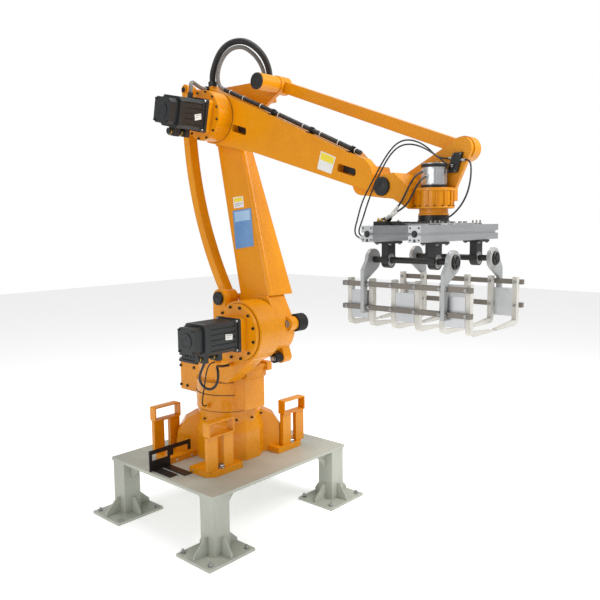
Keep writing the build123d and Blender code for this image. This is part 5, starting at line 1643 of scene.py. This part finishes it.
@dataclass
class ColumnDetails:
    """Seams, screws and caps of the turning column and its shoulder.

    Args:
        palette: the materials.
        drum_bands: the name, height and radius of each seam round the drum.
        shoulder: the shoulder's axis, on the face under its motor.
        shoulder_circle: the radius of the circle of its screws.
        seam_y: where the seam of the shoulder housing is along Y.
        housing_radius: the radius of that housing.
        rear_pin: the middle of the outer face of the rear rod's pin.
        box_face: where the near face of the waist motor's box is along Y.
        box_screws: where the screws on that face are, along X and Z.
    """

    palette: Palette
    drum_bands: tuple[tuple[str, float, float], ...] = (
        ("drum_seam", 0.7505, 0.200), ("drum_lip", 0.826, 0.196))
    shoulder: Point = (0.380, -0.280, 1.172)
    shoulder_circle: float = 0.143
    seam_y: float = -0.2545
    housing_radius: float = 0.158
    rear_pin: Point = (0.185, -0.238, 1.342)
    box_face: float = -0.0842
    box_screws: tuple[Point, ...] = ((-0.362, 0.735), (-0.300, 0.735), (-0.362, 0.860), (-0.230, 0.860))

    def build(self) -> None:
        """Adds the pieces."""
        x, _, z = self.shoulder
        drum = [Ring(name, "column", (0, 0, level), UP, band(radius, 0.0035, 0.0008), SATIN_BLACK)
                for name, level, radius in self.drum_bands]
        build_all((
            *drum,
            BoltRing("shoulder_screws", "column", self.shoulder, NEAR, self.shoulder_circle, 12, 0.010, 15.0),
            Ring("shoulder_seam", "column", (x, self.seam_y, z), NEAR,
                 band(self.housing_radius, 0.003, 0.0012), SATIN_BLACK),
            Ring("rear_pin_face", "column", self.rear_pin, NEAR, cap_profile(0.036, 0.004), PLASTIC_BLACK),
        ), self.palette)
        builder = Builder(self.palette)
        for x, z in self.box_screws:
            builder.bolt(frame_at((x, self.box_face, z), NEAR), 0.010, DARK_STEEL)
        builder.finish_piece("waist_box_screws", "column")


@dataclass
class LowerArmDetails:
    """Screws of the bosses, the seam of the head and the buffers' washer.

    Args:
        palette: the materials.
        elbow_x: where the elbow's axis is along X.
        elbow_z: its height.
        nut_face: where the outer face of the elbow's nut is along Y.
        nut_circle: the radius of the circle of its screws.
        seam_y: where the seam of the head is along Y.
        head_radius: the radius of the head there.
        boss: the middle of the near face of the buffers' boss.
        stop: the middle of the near face of the stop's boss.
        buffer: the middle of the outer face of the far buffer.
    """

    palette: Palette
    elbow_x: float = 0.070
    elbow_z: float = 2.365
    nut_face: float = 0.0943
    nut_circle: float = 0.044
    seam_y: float = -0.0503
    head_radius: float = 0.108
    boss: Point = (0.520, -0.025, 1.202)
    stop: Point = (0.470, -0.082, 1.010)
    buffer: Point = (0.520, 0.119, 1.202)

    def build(self) -> None:
        """Adds the pieces."""
        nut = (self.elbow_x, self.nut_face, self.elbow_z)
        seam = (self.elbow_x, self.seam_y, self.elbow_z)
        build_all((
            BoltRing("elbow_nut_screws", "lower_arm", nut, FAR, self.nut_circle, 6, 0.010),
            BoltRing("boss_screw", "lower_arm", self.boss, NEAR, 0.0, 1, 0.022, hexagon=True,
                     finish=BARE_STEEL),
            BoltRing("stop_screw", "lower_arm", self.stop, NEAR, 0.0, 1, 0.016, hexagon=True,
                     finish=BARE_STEEL),
            Ring("buffer_washer", "lower_arm", self.buffer, FAR, cap_profile(0.026, 0.0035), BARE_STEEL),
            Ring("arm_head_seam", "lower_arm", seam, FAR, band(self.head_radius, 0.003, 0.001), SATIN_BLACK),
        ), self.palette)


@dataclass
class LinkDetails:
    """Caps and screws of the link plate and the rods.

    Args:
        palette: the materials.
        rod_rear: the upper rod's rear pivot, as X and Z.
        rod_front: its front pivot.
        rod_top: the top pivot of the rear rod.
        cap_y: where the near face of the link plate's cap is along Y.
        shaft_y: where the near end of the link plate's shaft is.
        screw_y: where the outer faces of the upper rod's pins are.
        seam_y: where the seams of the upper rod's eyes are.
        screw_circle: the radius of the circle of the pins' screws.
        eye_radius: the radius of the bushes in the rod's eyes.
    """

    palette: Palette
    rod_rear: Point = (0.378, 2.527)
    rod_front: Point = (1.531, 2.089)
    rod_top: Point = (-0.125, 2.535)
    cap_y: float = -0.091
    shaft_y: float = -0.186
    screw_y: float = 0.1436 + 0.010
    seam_y: float = 0.0856
    screw_circle: float = 0.026
    eye_radius: float = 0.040

    def build(self) -> None:
        """Adds the pieces."""
        def at(pivot: Point, y: float) -> Point:
            """The point on a pivot's axis at a place along Y."""
            return pivot[0], y, pivot[1]

        build_all((
            Ring("link_cap_face", "link_plate", at(self.rod_rear, self.cap_y), NEAR,
                 cap_profile(0.042, 0.004), PLASTIC_BLACK),
            Ring("link_shaft_face", "link_plate", at(self.rod_top, self.shaft_y), NEAR,
                 cap_profile(0.0158, 0.003), DARK_STEEL),
            BoltRing("rod_rear_screws", "link_plate", at(self.rod_rear, self.screw_y), FAR,
                     self.screw_circle, 4, 0.008),
            BoltRing("rod_front_screws", "wrist", at(self.rod_front, self.screw_y), FAR, self.screw_circle, 4,
                     0.008),
            Ring("rod_rear_seam", "upper_rod", at(self.rod_rear, self.seam_y), NEAR,
                 band(self.eye_radius, 0.0002, 0.002), SATIN_BLACK),
            Ring("rod_front_seam", "upper_rod", at(self.rod_front, self.seam_y), NEAR,
                 band(self.eye_radius, 0.0002, 0.002), SATIN_BLACK),
        ), self.palette)


@dataclass
class UpperArmDetails:
    """Conduit, ties, slot linings, label and seams of the upper arm.

    Args:
        palette: the materials.
        conduit: the corners of the conduit's line.
        conduit_radius: its radius over the ribs.
        rib_step: the distance between two points of its ribbed line.
        rib_depth: how deep its ribs are.
        tie_shares: where its ties sit along it.
        rear_slot: the corners of the rear slot, as X and Z.
        front_slot: the corners of the front slot.
        slot_floor: where the floors of the slots are along Y.
        label: the corners of the label, as X and Z.
        near_face: where the near face of the arm is along Y.
        elbow_x: where the elbow's axis is along X.
        elbow_z: its height.
        disc_seam_y: where the seam of the elbow disc is along Y.
        disc_face: where the disc's near face is.
        disc_radius: the radius of the disc at the seam.
        disc_circle: the radius of the circle of its screws.
    """

    palette: Palette
    conduit: tuple[Point, ...] = (
        (0.1065, -0.072, 2.5177), (0.3793, -0.072, 2.4007), (1.0685, -0.072, 2.0936))
    conduit_radius: float = 0.012
    rib_step: float = 0.0016
    rib_depth: float = 0.0012
    tie_shares: tuple[float, ...] = (0.05, 0.16, 0.30, 0.44, 0.62, 0.74, 0.86, 0.97)
    rear_slot: tuple[Point, ...] = ((0.198, 2.316), (0.312, 2.281), (0.311, 2.241), (0.201, 2.276))
    front_slot: tuple[Point, ...] = ((0.955, 2.050), (1.066, 2.016), (1.067, 1.978), (0.953, 2.012))
    slot_floor: float = -0.064
    label: tuple[Point, ...] = ((0.85, 2.118), (0.945, 2.08), (0.915, 2.0), (0.824, 2.032))
    near_face: float = -0.110
    elbow_x: float = 0.070
    elbow_z: float = 2.365
    disc_seam_y: float = -0.1085
    disc_face: float = -0.2145
    disc_radius: float = 0.138
    disc_circle: float = 0.129

    def build(self) -> None:
        """Adds the pieces."""
        self._conduit()
        self._slots()
        self._label()
        seam = (self.elbow_x, self.disc_seam_y, self.elbow_z)
        face = (self.elbow_x, self.disc_face, self.elbow_z)
        build_all((
            Ring("elbow_disc_seam", "upper_arm", seam, NEAR, band(self.disc_radius, 0.004, 0.0014),
                 SATIN_BLACK),
            BoltRing("elbow_disc_screws", "upper_arm", face, NEAR, self.disc_circle, 12, 0.008, 15.0),
        ), self.palette)

    def _conduit(self) -> None:
        """Adds the ribbed conduit and its pale ties."""
        points = [Vector(p) for p in self.conduit]
        line = resampled(points, self.rib_step)
        waves = (0.0, 0.7, 1.0, 0.7)
        builder = Builder(self.palette)
        radius = self.conduit_radius
        builder.tube(line, lambda i: radius - self.rib_depth * (1 - waves[i % 4]), HOSE_BLACK, 14)
        piece = builder.finish_piece("conduit_jacket", "upper_arm", 60.0)
        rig.replaces(piece, "arm_conduit")
        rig.slot(piece, "conduit_grey")
        builder = Builder(self.palette)
        strap = [(radius - 0.002, -0.0024), (radius + 0.001, -0.0024), (radius + 0.001, 0.0024),
                 (radius - 0.002, 0.0024), (radius - 0.002, -0.0024)]
        for share in self.tie_shares:
            index = round(share * (len(line) - 1))
            index = min(max(index, 1), len(line) - 2)
            place = frame_at(line[index], line[index + 1] - line[index - 1])
            builder.revolve(strap, place, TIE_WHITE, 20)
            lock = place @ Matrix.Translation((radius, 0, -0.003))
            builder.box((0.004, 0.005, 0.006), lock, TIE_WHITE, 0.0006)
        builder.finish_piece("conduit_ties", "upper_arm")

    def _slots(self) -> None:
        """Adds dark linings on the floors of the two slots."""
        builder = Builder(self.palette)
        for outline in (self.rear_slot, self.front_slot):
            middle = (sum(p[0] for p in outline) / 4, sum(p[1] for p in outline) / 4)
            place = frame_at((middle[0], self.slot_floor, middle[1]), NEAR, FORE)
            flat = [((p[0] - middle[0]) * 0.93, (p[1] - middle[1]) * 0.90) for p in outline]
            sense = 1 if (place @ Vector(FAR) - place.translation).z > 0 else -1
            builder.prism([(x, z * sense) for x, z in flat], 0.0005, 0.004, place, SATIN_BLACK, 0.001)
        builder.finish_piece("slot_linings", "upper_arm")

    def _label(self) -> None:
        """Adds a blank label on the near face, with a yellow area in its upper half."""
        builder = Builder(self.palette)
        margin, yellow_share = 0.12, 0.45
        corners = [Vector((x, self.near_face - 0.0006, z)) for x, z in self.label]
        builder.face(corners, LABEL_WHITE)
        middle = sum(corners, Vector()) / 4
        low = [c.lerp(middle, margin) - Vector((0, 0.0003, 0)) for c in corners]
        builder.face([low[0], low[1], low[1].lerp(low[2], yellow_share), low[0].lerp(low[3], yellow_share)],
                     LABEL_YELLOW)
        back = Vector((0, 0.001, 0))
        for i in range(4):
            j = (i + 1) % 4
            builder.face([corners[i], corners[j], corners[j] + back, corners[i] + back], LABEL_WHITE)
        builder.finish_piece("upper_arm_label", "upper_arm")


@dataclass
class WristDetails:
    """Screws, bands, glands and the panels of the wrist motor.

    Args:
        palette: the materials.
        centre: the axis of the flange, as X and Y.
        pin: the middle of the near face of the wrist's pin.
        reducer_foot: the height of the reducer's lower lip.
        reducer_top: the height of its upper lip.
        rib_foot: the height of the ribs' feet and of the screws between them.
        rib_reach: how far the ribs are from the axis.
        rib_count: how many ribs go round the reducer.
        motor_foot: the height of the motor's foot.
        motor_top: the height of its lid.
        panel_foot: the height of the feet of its bright panels.
        panel_reach: how far the panels are from the axis.
        panel_count: how many panels go round.
        lid_screw_reach: how far the lid's screws are from the axis.
        gland_radius: the radius through the corners of a gland's nut.
        box_lid_y: where the near face of the junction box's lid is along Y.
        box_screws: where its screws are, along X and Z.
    """

    palette: Palette
    centre: tuple[float, float] = (1.430, 0.0)
    pin: Point = (1.223, -0.122, 1.927)
    reducer_foot: float = 1.8205
    reducer_top: float = 1.900
    rib_foot: float = 1.8305
    rib_reach: float = 0.0885
    rib_count: int = 14
    motor_foot: float = 1.9142
    motor_top: float = 2.024
    panel_foot: float = 1.933
    panel_reach: float = 0.0553
    panel_count: int = 10
    lid_screw_reach: float = 0.050
    gland_radius: float = 0.0088
    box_lid_y: float = 0.0418
    box_screws: tuple[Point, ...] = ((1.482, 1.989), (1.514, 1.989), (1.505, 2.063), (1.540, 2.063))

    def build(self) -> None:
        """Adds the pieces."""
        x, y = self.centre
        build_all((
            Ring("wrist_cap_face", "wrist", self.pin, NEAR, cap_profile(0.042, 0.004), PLASTIC_BLACK),
            Ring("reducer_lip", "wrist", (x, y, self.reducer_foot), UP, band(0.0895, 0.010, 0.0045), YELLOW),
            Ring("reducer_top_lip", "wrist", (x, y, self.reducer_top), UP, band(0.0885, 0.010, 0.003),
                 YELLOW),
            BoltRing("reducer_screws", "wrist", (x, y, self.rib_foot), UP, 0.0918, 16, 0.0045, 11.0),
        ), self.palette)
        self._ribs()
        self._motor()
        self._box()

    def _ribs(self) -> None:
        """Adds upright ribs round the reducer housing."""
        x, y = self.centre
        builder = Builder(self.palette)
        for i in range(self.rib_count):
            turn = tau * i / self.rib_count
            place = Matrix.Translation((x, y, self.rib_foot)) @ Matrix.Rotation(turn, 4, "Z")
            spot = place @ Matrix.Translation((self.rib_reach, 0, 0))
            builder.box((0.008, 0.0055, 0.070), spot, YELLOW, 0.0012)
        builder.finish_piece("reducer_ribs", "wrist")

    def _motor(self) -> None:
        """Adds bands, bright panels and screws on the wrist motor."""
        x, y = self.centre
        foot = ((0.054, 0.0), (0.0590, 0.0), (0.0590, 0.012), (0.0572, 0.014), (0.054, 0.014), (0.054, 0.0))
        lid = ((0.0575, -0.019), (0.0588, -0.017), (0.0588, -0.004), (0.056, 0.0008), (0.045, 0.0016),
               (0.043, 0.0), (0.012, 0.0), (0.010, 0.002), (0.0, 0.002))
        build_all((
            Ring("wrist_motor_base", "wrist", (x, y, self.motor_foot), UP, foot, SATIN_BLACK),
            Ring("wrist_motor_lid", "wrist", (x, y, self.motor_top), UP, lid, PLASTIC_BLACK),
        ), self.palette)
        builder = Builder(self.palette)
        for i in range(self.panel_count):
            turn = tau * i / self.panel_count
            place = Matrix.Translation((x, y, self.panel_foot)) @ Matrix.Rotation(turn, 4, "Z")
            spot = place @ Matrix.Translation((self.panel_reach, 0, 0))
            builder.box((0.003, 0.024, 0.066), spot, ALUMINIUM, 0.001)
        for i in range(4):
            turn = tau * (i + 0.5) / 4
            place = Matrix.Translation((x, y, self.motor_top + 0.0005)) @ Matrix.Rotation(turn, 4, "Z")
            builder.socket_screw(place @ Matrix.Translation((self.lid_screw_reach, 0, 0)), 0.005, BARE_STEEL)
        builder.finish_piece("wrist_motor_panels", "wrist")

    def _box(self) -> None:
        """Adds the nuts of the glands and the screws on the lid of the junction box."""
        builder = Builder(self.palette)
        collar = [(0.0072, -0.003), (0.0072, 0.002), (0.0052, 0.006), (0.0036, 0.006)]
        for route in (WRIST_CABLE_LONG_ROUTE, WRIST_CABLE_SHORT_ROUTE, TOOL_LOOP_CABLE_ROUTE):
            place = frame_at(route[0], Vector(route[1]) - Vector(route[0]))
            builder.prism(hexagon(self.gland_radius), -0.012, -0.003, place, BARE_STEEL, 0.0008)
            builder.revolve(collar, place, BARE_STEEL, 20)
        builder.finish_piece("box_gland_nuts", "wrist")
        builder = Builder(self.palette)
        for x, z in self.box_screws:
            builder.socket_screw(frame_at((x, self.box_lid_y, z), NEAR), 0.004, BARE_STEEL)
        builder.finish_piece("box_screws", "wrist")


@dataclass
class GripperDetails:
    """Screws, end caps, studs and fittings on the gripper's frame.

    Args:
        palette: the materials.
        middle: where the axis of the flange is along X.
        beam_offset: how far a beam is from that axis along X.
        beam_half: half a beam's length.
        beam_low: the height of the beams' undersides.
        beam_high: the height of their tops.
        plate_top: the height of the top plate.
        plate_bolts: where the bolts through the plate are along Y.
        adapter_circle: the radius of the circle of the adapter's screws.
        adapter_screws: how many there are.
        end_screw: where the screws of a beam's end cap are, across and up.
        stud_places: where the studs on the beams are along Y.
        shaft_y: how far the jaws' shafts are from the middle along Y.
        shaft_z: their height.
        hanger_bolt: where a hanger's bolts are from its middle, along X and Y.
        hanger_plate: the thickness of a hanger's plate.
        bearing_half: half the width of a hanger's bearing.
        fitting_x: where the brass fittings on the valve block are along X.
        fitting_places: where they are along Y.
        block_screw_x: where the block's screws are along X.
        block_screw_places: where they are along Y.
        block_top: the height of the valve block.
        fitting_radius: the radius through the corners of a fitting's nut.
    """

    palette: Palette
    middle: float = 1.430
    beam_offset: float = 0.120
    beam_half: float = 0.350
    beam_low: float = 1.676
    beam_high: float = 1.747
    plate_top: float = 1.7550
    plate_bolts: tuple[float, ...] = (-0.075, -0.030, 0.030, 0.075)
    adapter_circle: float = 0.080
    adapter_screws: int = 6
    end_screw: tuple[float, float] = (0.021, 0.025)
    stud_places: tuple[float, ...] = (0.150, 0.186, 0.222)
    shaft_y: float = 0.186
    shaft_z: float = 1.591
    hanger_bolt: tuple[float, float] = (0.034, 0.040)
    hanger_plate: float = 0.010
    bearing_half: float = 0.017
    fitting_x: float = 1.285
    fitting_places: tuple[float, ...] = (-0.230, -0.205, -0.180)
    block_screw_x: float = 1.318
    block_screw_places: tuple[float, ...] = (-0.238, -0.120)
    block_top: float = 1.765
    fitting_radius: float = 0.0075

    def build(self) -> None:
        """Adds the pieces."""
        x = self.middle
        build_all((
            BoltRing("flange_screws", "gripper", (x, 0, 1.8190), UP, 0.0, 1, 0.004),
            Ring("flange_lip", "gripper", (x, 0, 1.7905), UP, band(0.0655, 0.008, 0.004), YELLOW),
            Ring("adapter_lip", "gripper", (x, 0, 1.7560), UP, band(0.0695, 0.012, 0.003), SATIN_BLACK),
        ), self.palette)
        self._plate_bolts()
        self._beam_ends()
        self._studs()
        self._hanger_bolts()
        self._fittings()

    def _plate_bolts(self) -> None:
        """Adds bolts through the top plate into the beams, and the screws of the adapter."""
        builder = Builder(self.palette)
        for side_x in SIDES:
            for y in self.plate_bolts:
                spot = (self.middle + side_x * self.beam_offset, y, self.plate_top)
                builder.bolt(frame_at(spot, UP, (1, 0.4, 0)), 0.009)
        reach = self.adapter_circle
        for i in range(self.adapter_screws):
            turn = tau * (i + 0.5) / self.adapter_screws
            spot = (self.middle + reach * cos(turn), reach * sin(turn), self.plate_top)
            builder.socket_screw(frame_at(spot, UP), 0.007, BARE_STEEL)
        builder.finish_piece("grip_plate_bolts", "gripper")

    def _beam_ends(self) -> None:
        """Adds a black rim and four screws on each end cap of the beams."""
        builder = Builder(self.palette)
        rim = [(0.0, 0.0006), (0.010, 0.0006), (0.012, 0.0016), (0.0145, 0.0016), (0.0150, 0.0)]
        screw = [(0.0, 0.0008), (0.0034, 0.0008), (0.0042, 0.0)]
        height = self.beam_high - self.beam_low
        reach_x, reach_z = self.end_screw
        for side_x in SIDES:
            for side_y in SIDES:
                x = self.middle + side_x * self.beam_offset
                foot = Vector((x, side_y * self.beam_half, self.beam_low + height / 2))
                place = frame_at(foot, (0, side_y, 0), FORE)
                builder.revolve(rim, place, SATIN_BLACK, 24)
                for across in (-reach_x, reach_x):
                    for up in (-reach_z, reach_z):
                        spot = place @ Matrix.Translation((across, up, 0.0))
                        builder.revolve(screw, spot, DARK_STEEL, 12)
        builder.finish_piece("beam_end_holes", "gripper")

    def _studs(self) -> None:
        """Adds studs with nuts on the beams' tops, clear of the valve block."""
        builder = Builder(self.palette)
        stud = [(0.0040, 0.0), (0.0040, 0.018), (0.0032, 0.020), (0.0, 0.020)]
        for side_x in SIDES:
            for side_y in SIDES:
                if side_x < 0 and side_y < 0:
                    continue
                for y in self.stud_places:
                    spot = (self.middle + side_x * self.beam_offset, side_y * y, self.beam_high)
                    place = frame_at(spot, UP)
                    builder.bolt(place, 0.009)
                    builder.revolve(stud, place, BARE_STEEL, 12)
        builder.finish_piece("beam_studs", "gripper")

    def _hanger_bolts(self) -> None:
        """Adds bolts up through the hangers' plates, and the bearings' rims."""
        builder = Builder(self.palette)
        reach_x, reach_y = self.hanger_bolt
        rim = [(0.0150, 0.0), (0.0150, 0.002), (0.0195, 0.002), (0.0205, 0.0004), (0.0290, 0.0004),
               (0.0300, 0.0)]
        for side_y in SIDES:
            for side_x in SIDES:
                x, y = self.middle + side_x * self.beam_offset, side_y * self.shaft_y
                for across in (-reach_x, reach_x):
                    for along in (-reach_y, reach_y):
                        spot = (x + across, y + along, self.beam_low - self.hanger_plate)
                        builder.bolt(frame_at(spot, DOWN), 0.007)
                for way in SIDES:
                    place = frame_at((x + way * self.bearing_half, y, self.shaft_z), (way, 0, 0))
                    builder.revolve(rim, place, BARE_STEEL, 32)
        builder.finish_piece("hanger_bolts", "gripper")

    def _fittings(self) -> None:
        """Adds brass fittings and screws on the valve block."""
        builder = Builder(self.palette)
        neck = [(0.0052, 0.007), (0.0052, 0.012), (0.0044, 0.013), (0.0044, 0.016), (0.0, 0.016)]
        for y in self.fitting_places:
            place = frame_at((self.fitting_x, y, self.block_top), UP)
            builder.prism(hexagon(self.fitting_radius), 0.0, 0.007, place, BRASS, 0.0008)
            builder.revolve(neck, place, BRASS, 18)
        for y in self.block_screw_places:
            spot = (self.block_screw_x, y, self.block_top)
            builder.socket_screw(frame_at(spot, UP), 0.006, BARE_STEEL)
        builder.finish_piece("valve_fittings", "gripper")


@dataclass
class JawDetails:
    """Bolts, hubs and rings of one jaw.

    Args:
        palette: the materials.
        name: near or far.
        side: -1 for the near jaw, 1 for the far one.
        middle: where the axis of the flange is along X.
        spacing: the distance between two fingers.
        shares: where the fingers are, in spacings from the middle.
        bars: the heights of the two bars.
        plane: how far the bars are from the middle along Y.
        bar_half: half a bar's thickness.
        arm_offset: how far a swing arm is from the middle along X.
        arm_half: half a swing arm's thickness.
        shaft_y: how far the shaft is from the middle along Y.
        shaft_z: its height.
        finger_depth: the depth of a finger.
        hub_half: how far the end of the shaft is from the middle.
        spokes: how many spokes a hub has.
    """

    palette: Palette
    name: str
    side: int
    middle: float = 1.430
    spacing: float = 0.122
    shares: tuple[float, ...] = (-2.5, -1.5, -0.5, 0.5, 1.5, 2.5)
    bars: tuple[float, ...] = (1.482, 1.375)
    plane: float = 0.244
    bar_half: float = 0.011
    arm_offset: float = 0.207
    arm_half: float = 0.009
    shaft_y: float = 0.186
    shaft_z: float = 1.591
    finger_depth: float = 0.026
    hub_half: float = 0.224
    spokes: int = 6

    @property
    def body(self) -> str:
        """The jaw's body."""
        return self.name + "_jaw"

    def build(self) -> None:
        """Adds the pieces."""
        builder = Builder(self.palette)
        outer = self.side * (self.plane + self.bar_half)
        inner = self.side * (self.plane - self.bar_half - self.finger_depth)
        for share in self.shares:
            x = self.middle + share * self.spacing
            for z in self.bars:
                builder.bolt(frame_at((x, outer, z), (0, self.side, 0), (1, 0, 0.2 * share)), 0.008)
                builder.bolt(frame_at((x, inner, z), (0, -self.side, 0), (1, 0, 0.3 * share)), 0.008)
        builder.finish_piece(self.name + "_finger_bolts", self.body)
        self._hubs()
        self._arm_screws()

    def _hubs(self) -> None:
        """Adds a pale ring and a black hub with spokes at each end of the shaft."""
        builder = Builder(self.palette)
        hub = [(0.031, -0.0078), (0.031, 0.001), (0.029, 0.003), (0.024, 0.003), (0.023, 0.001),
               (0.012, 0.001), (0.011, 0.005), (0.0, 0.005)]
        rim = [(0.033, 0.0), (0.033, 0.002), (0.044, 0.002), (0.0455, 0.0)]
        y = self.side * self.shaft_y
        for way in SIDES:
            place = frame_at((self.middle + way * self.hub_half, y, self.shaft_z), (way, 0, 0))
            builder.revolve(hub, place, SATIN_BLACK, 36)
            for i in range(self.spokes):
                turned = place @ Matrix.Rotation(tau * i / self.spokes, 4, "Z")
                spoke = turned @ Matrix.Translation((0.0175, 0, 0.0008))
                builder.box((0.013, 0.0045, 0.0032), spoke, SATIN_BLACK, 0.0008)
            face = self.middle + way * (self.arm_offset + self.arm_half)
            builder.revolve(rim, frame_at((face, y, self.shaft_z), (way, 0, 0)), LABEL_GREY, 44)
        builder.finish_piece(self.name + "_hubs", self.body)

    def _arm_screws(self) -> None:
        """Adds screws through the swing arms into the ends of the bars."""
        builder = Builder(self.palette)
        for way in SIDES:
            for z in self.bars:
                for facing in SIDES:
                    x = self.middle + way * self.arm_offset + facing * self.arm_half
                    spot = (x, self.side * (self.plane + self.bar_half + 0.007), z)
                    builder.socket_screw(frame_at(spot, (facing, 0, 0)), 0.006, BARE_STEEL)
        builder.finish_piece(self.name + "_arm_screws", self.body)


# Stage

@dataclass(frozen=True)
class SoftBox:
    """One soft light.

    Args:
        name: its name.
        place: where it hangs.
        target: what it points at.
        size: its width in metres.
        power: its power in watts.
    """

    name: str
    place: Point
    target: Point
    size: float
    power: float

    def build(self) -> None:
        """Adds the light."""
        data = bpy.data.lights.new(self.name, "AREA")
        data.shape = "SQUARE"
        data.size = self.size
        data.energy = self.power
        obj = bpy.data.objects.new(self.name, data)
        bpy.context.scene.collection.objects.link(obj)
        obj.matrix_world = frame_at(self.place, Vector(self.place) - Vector(self.target), FORE)


@dataclass
class Studio:
    """A pale floor, a pale world and soft lights.

    Args:
        floor_half: half the floor's width.
        floor_colour: the floor's colour.
        floor_glow: the light that the floor gives off.
        world_strength: the world's light on the object; the camera sees it at 1.
        lights: the soft lights.
    """

    floor_half: float = 14.0
    floor_colour: Colour = (0.86, 0.86, 0.86)
    floor_glow: float = 0.42
    world_strength: float = 0.5
    lights: tuple[SoftBox, ...] = field(default_factory=lambda: (
        SoftBox("key_light", (3.4, 1.2, 4.4), (0.4, 0.0, 1.3), 2.2, 150.0),
        SoftBox("fill_light", (0.8, -4.6, 2.6), (0.3, 0.0, 1.2), 3.0, 55.0),
        SoftBox("top_light", (-0.6, 0.4, 5.4), (0.4, 0.0, 1.0), 3.0, 90.0),
    ))

    def build(self) -> None:
        """Adds the floor, the world and the lights."""
        half = self.floor_half
        data = bpy.data.meshes.new("floor")
        corners = [(-half, -half, 0), (half, -half, 0), (half, half, 0), (-half, half, 0)]
        data.from_pydata(corners, [], [(0, 1, 2, 3)])
        floor = bpy.data.objects.new("floor", data)
        material = bpy.data.materials.new("floor_pale")
        material.use_nodes = True
        shader = material.node_tree.nodes["Principled BSDF"]
        put(shader, {"Base Color": (*self.floor_colour, 1.0), "Roughness": 0.9, "Specular IOR Level": 0.1,
                     "Emission Color": (1.0, 1.0, 1.0, 1.0), "Emission Strength": self.floor_glow})
        data.materials.append(material)
        bpy.context.scene.collection.objects.link(floor)
        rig.stage(floor)
        world = bpy.data.worlds.new("pale_world")
        world.use_nodes = True
        nodes, links = world.node_tree.nodes, world.node_tree.links
        back = nodes["Background"]
        put(back, {"Color": (1.0, 1.0, 1.0, 1.0)})
        path = nodes.new("ShaderNodeLightPath")
        level = nodes.new("ShaderNodeMapRange")
        put(level, {"To Min": self.world_strength, "To Max": 1.0})
        links.new(path.outputs["Is Camera Ray"], level.inputs["Value"])
        links.new(level.outputs["Result"], back.inputs["Strength"])
        bpy.context.scene.world = world
        for light in self.lights:
            light.build()
        bpy.context.scene.view_settings.view_transform = "Standard"


# Whole scene

def write_sizes(path: str = "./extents.json") -> None:
    """Writes the CAD box and the dressed box as plain lists.

    Args:
        path: the file to write.
    """
    def plain(box: Sequence[Point]) -> list[list[float]]:
        """A box as lists of plain numbers."""
        return [[float(v) for v in corner] for corner in box]

    with open(path, "w") as handle:
        json.dump({"cad": plain(CAD_BOX), "visual": plain(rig.bounds())}, handle)


def servo_motors() -> tuple[MotorDetails, ...]:
    """The three servo motors, from the same seats as the solids."""
    tilt = radians(12.5)
    return (
        MotorDetails("shoulder_motor", "column", (0.380, -0.325, 1.172), NEAR, UP, 0.224),
        MotorDetails("elbow_motor", "upper_arm", (0.070, -0.250, 2.365), NEAR,
                     (sin(tilt), 0, cos(tilt)), 0.170),
        MotorDetails("waist_motor", "column", (-0.290, 0.0, 0.885), UP, FAR, 0.145),
    )


def main() -> None:
    """Dresses the nodes, adds the details and sets the stage."""
    camera = CameraSpec()
    camera.build()
    palette = Palette(NodeGroups())
    nodes = frame["nodes"]
    NodeDresser(palette, frame["record"], nodes).dress()
    CordSet(palette).build()
    seats = PhotoSeat(camera, nodes)
    for motor in servo_motors():
        motor.build(palette)
    details = [TableDetails(palette), BaseDetails(palette), ColumnDetails(palette), LowerArmDetails(palette),
               LinkDetails(palette), UpperArmDetails(palette), WristDetails(palette), GripperDetails(palette),
               JawDetails(palette, "near", -1), JawDetails(palette, "far", 1), PhotoMarks(palette, seats)]
    for detail in details:
        detail.build()
        log.info("built %s", type(detail).__name__)
    Studio().build()
    write_sizes()


if __name__ == "__main__":
    main()
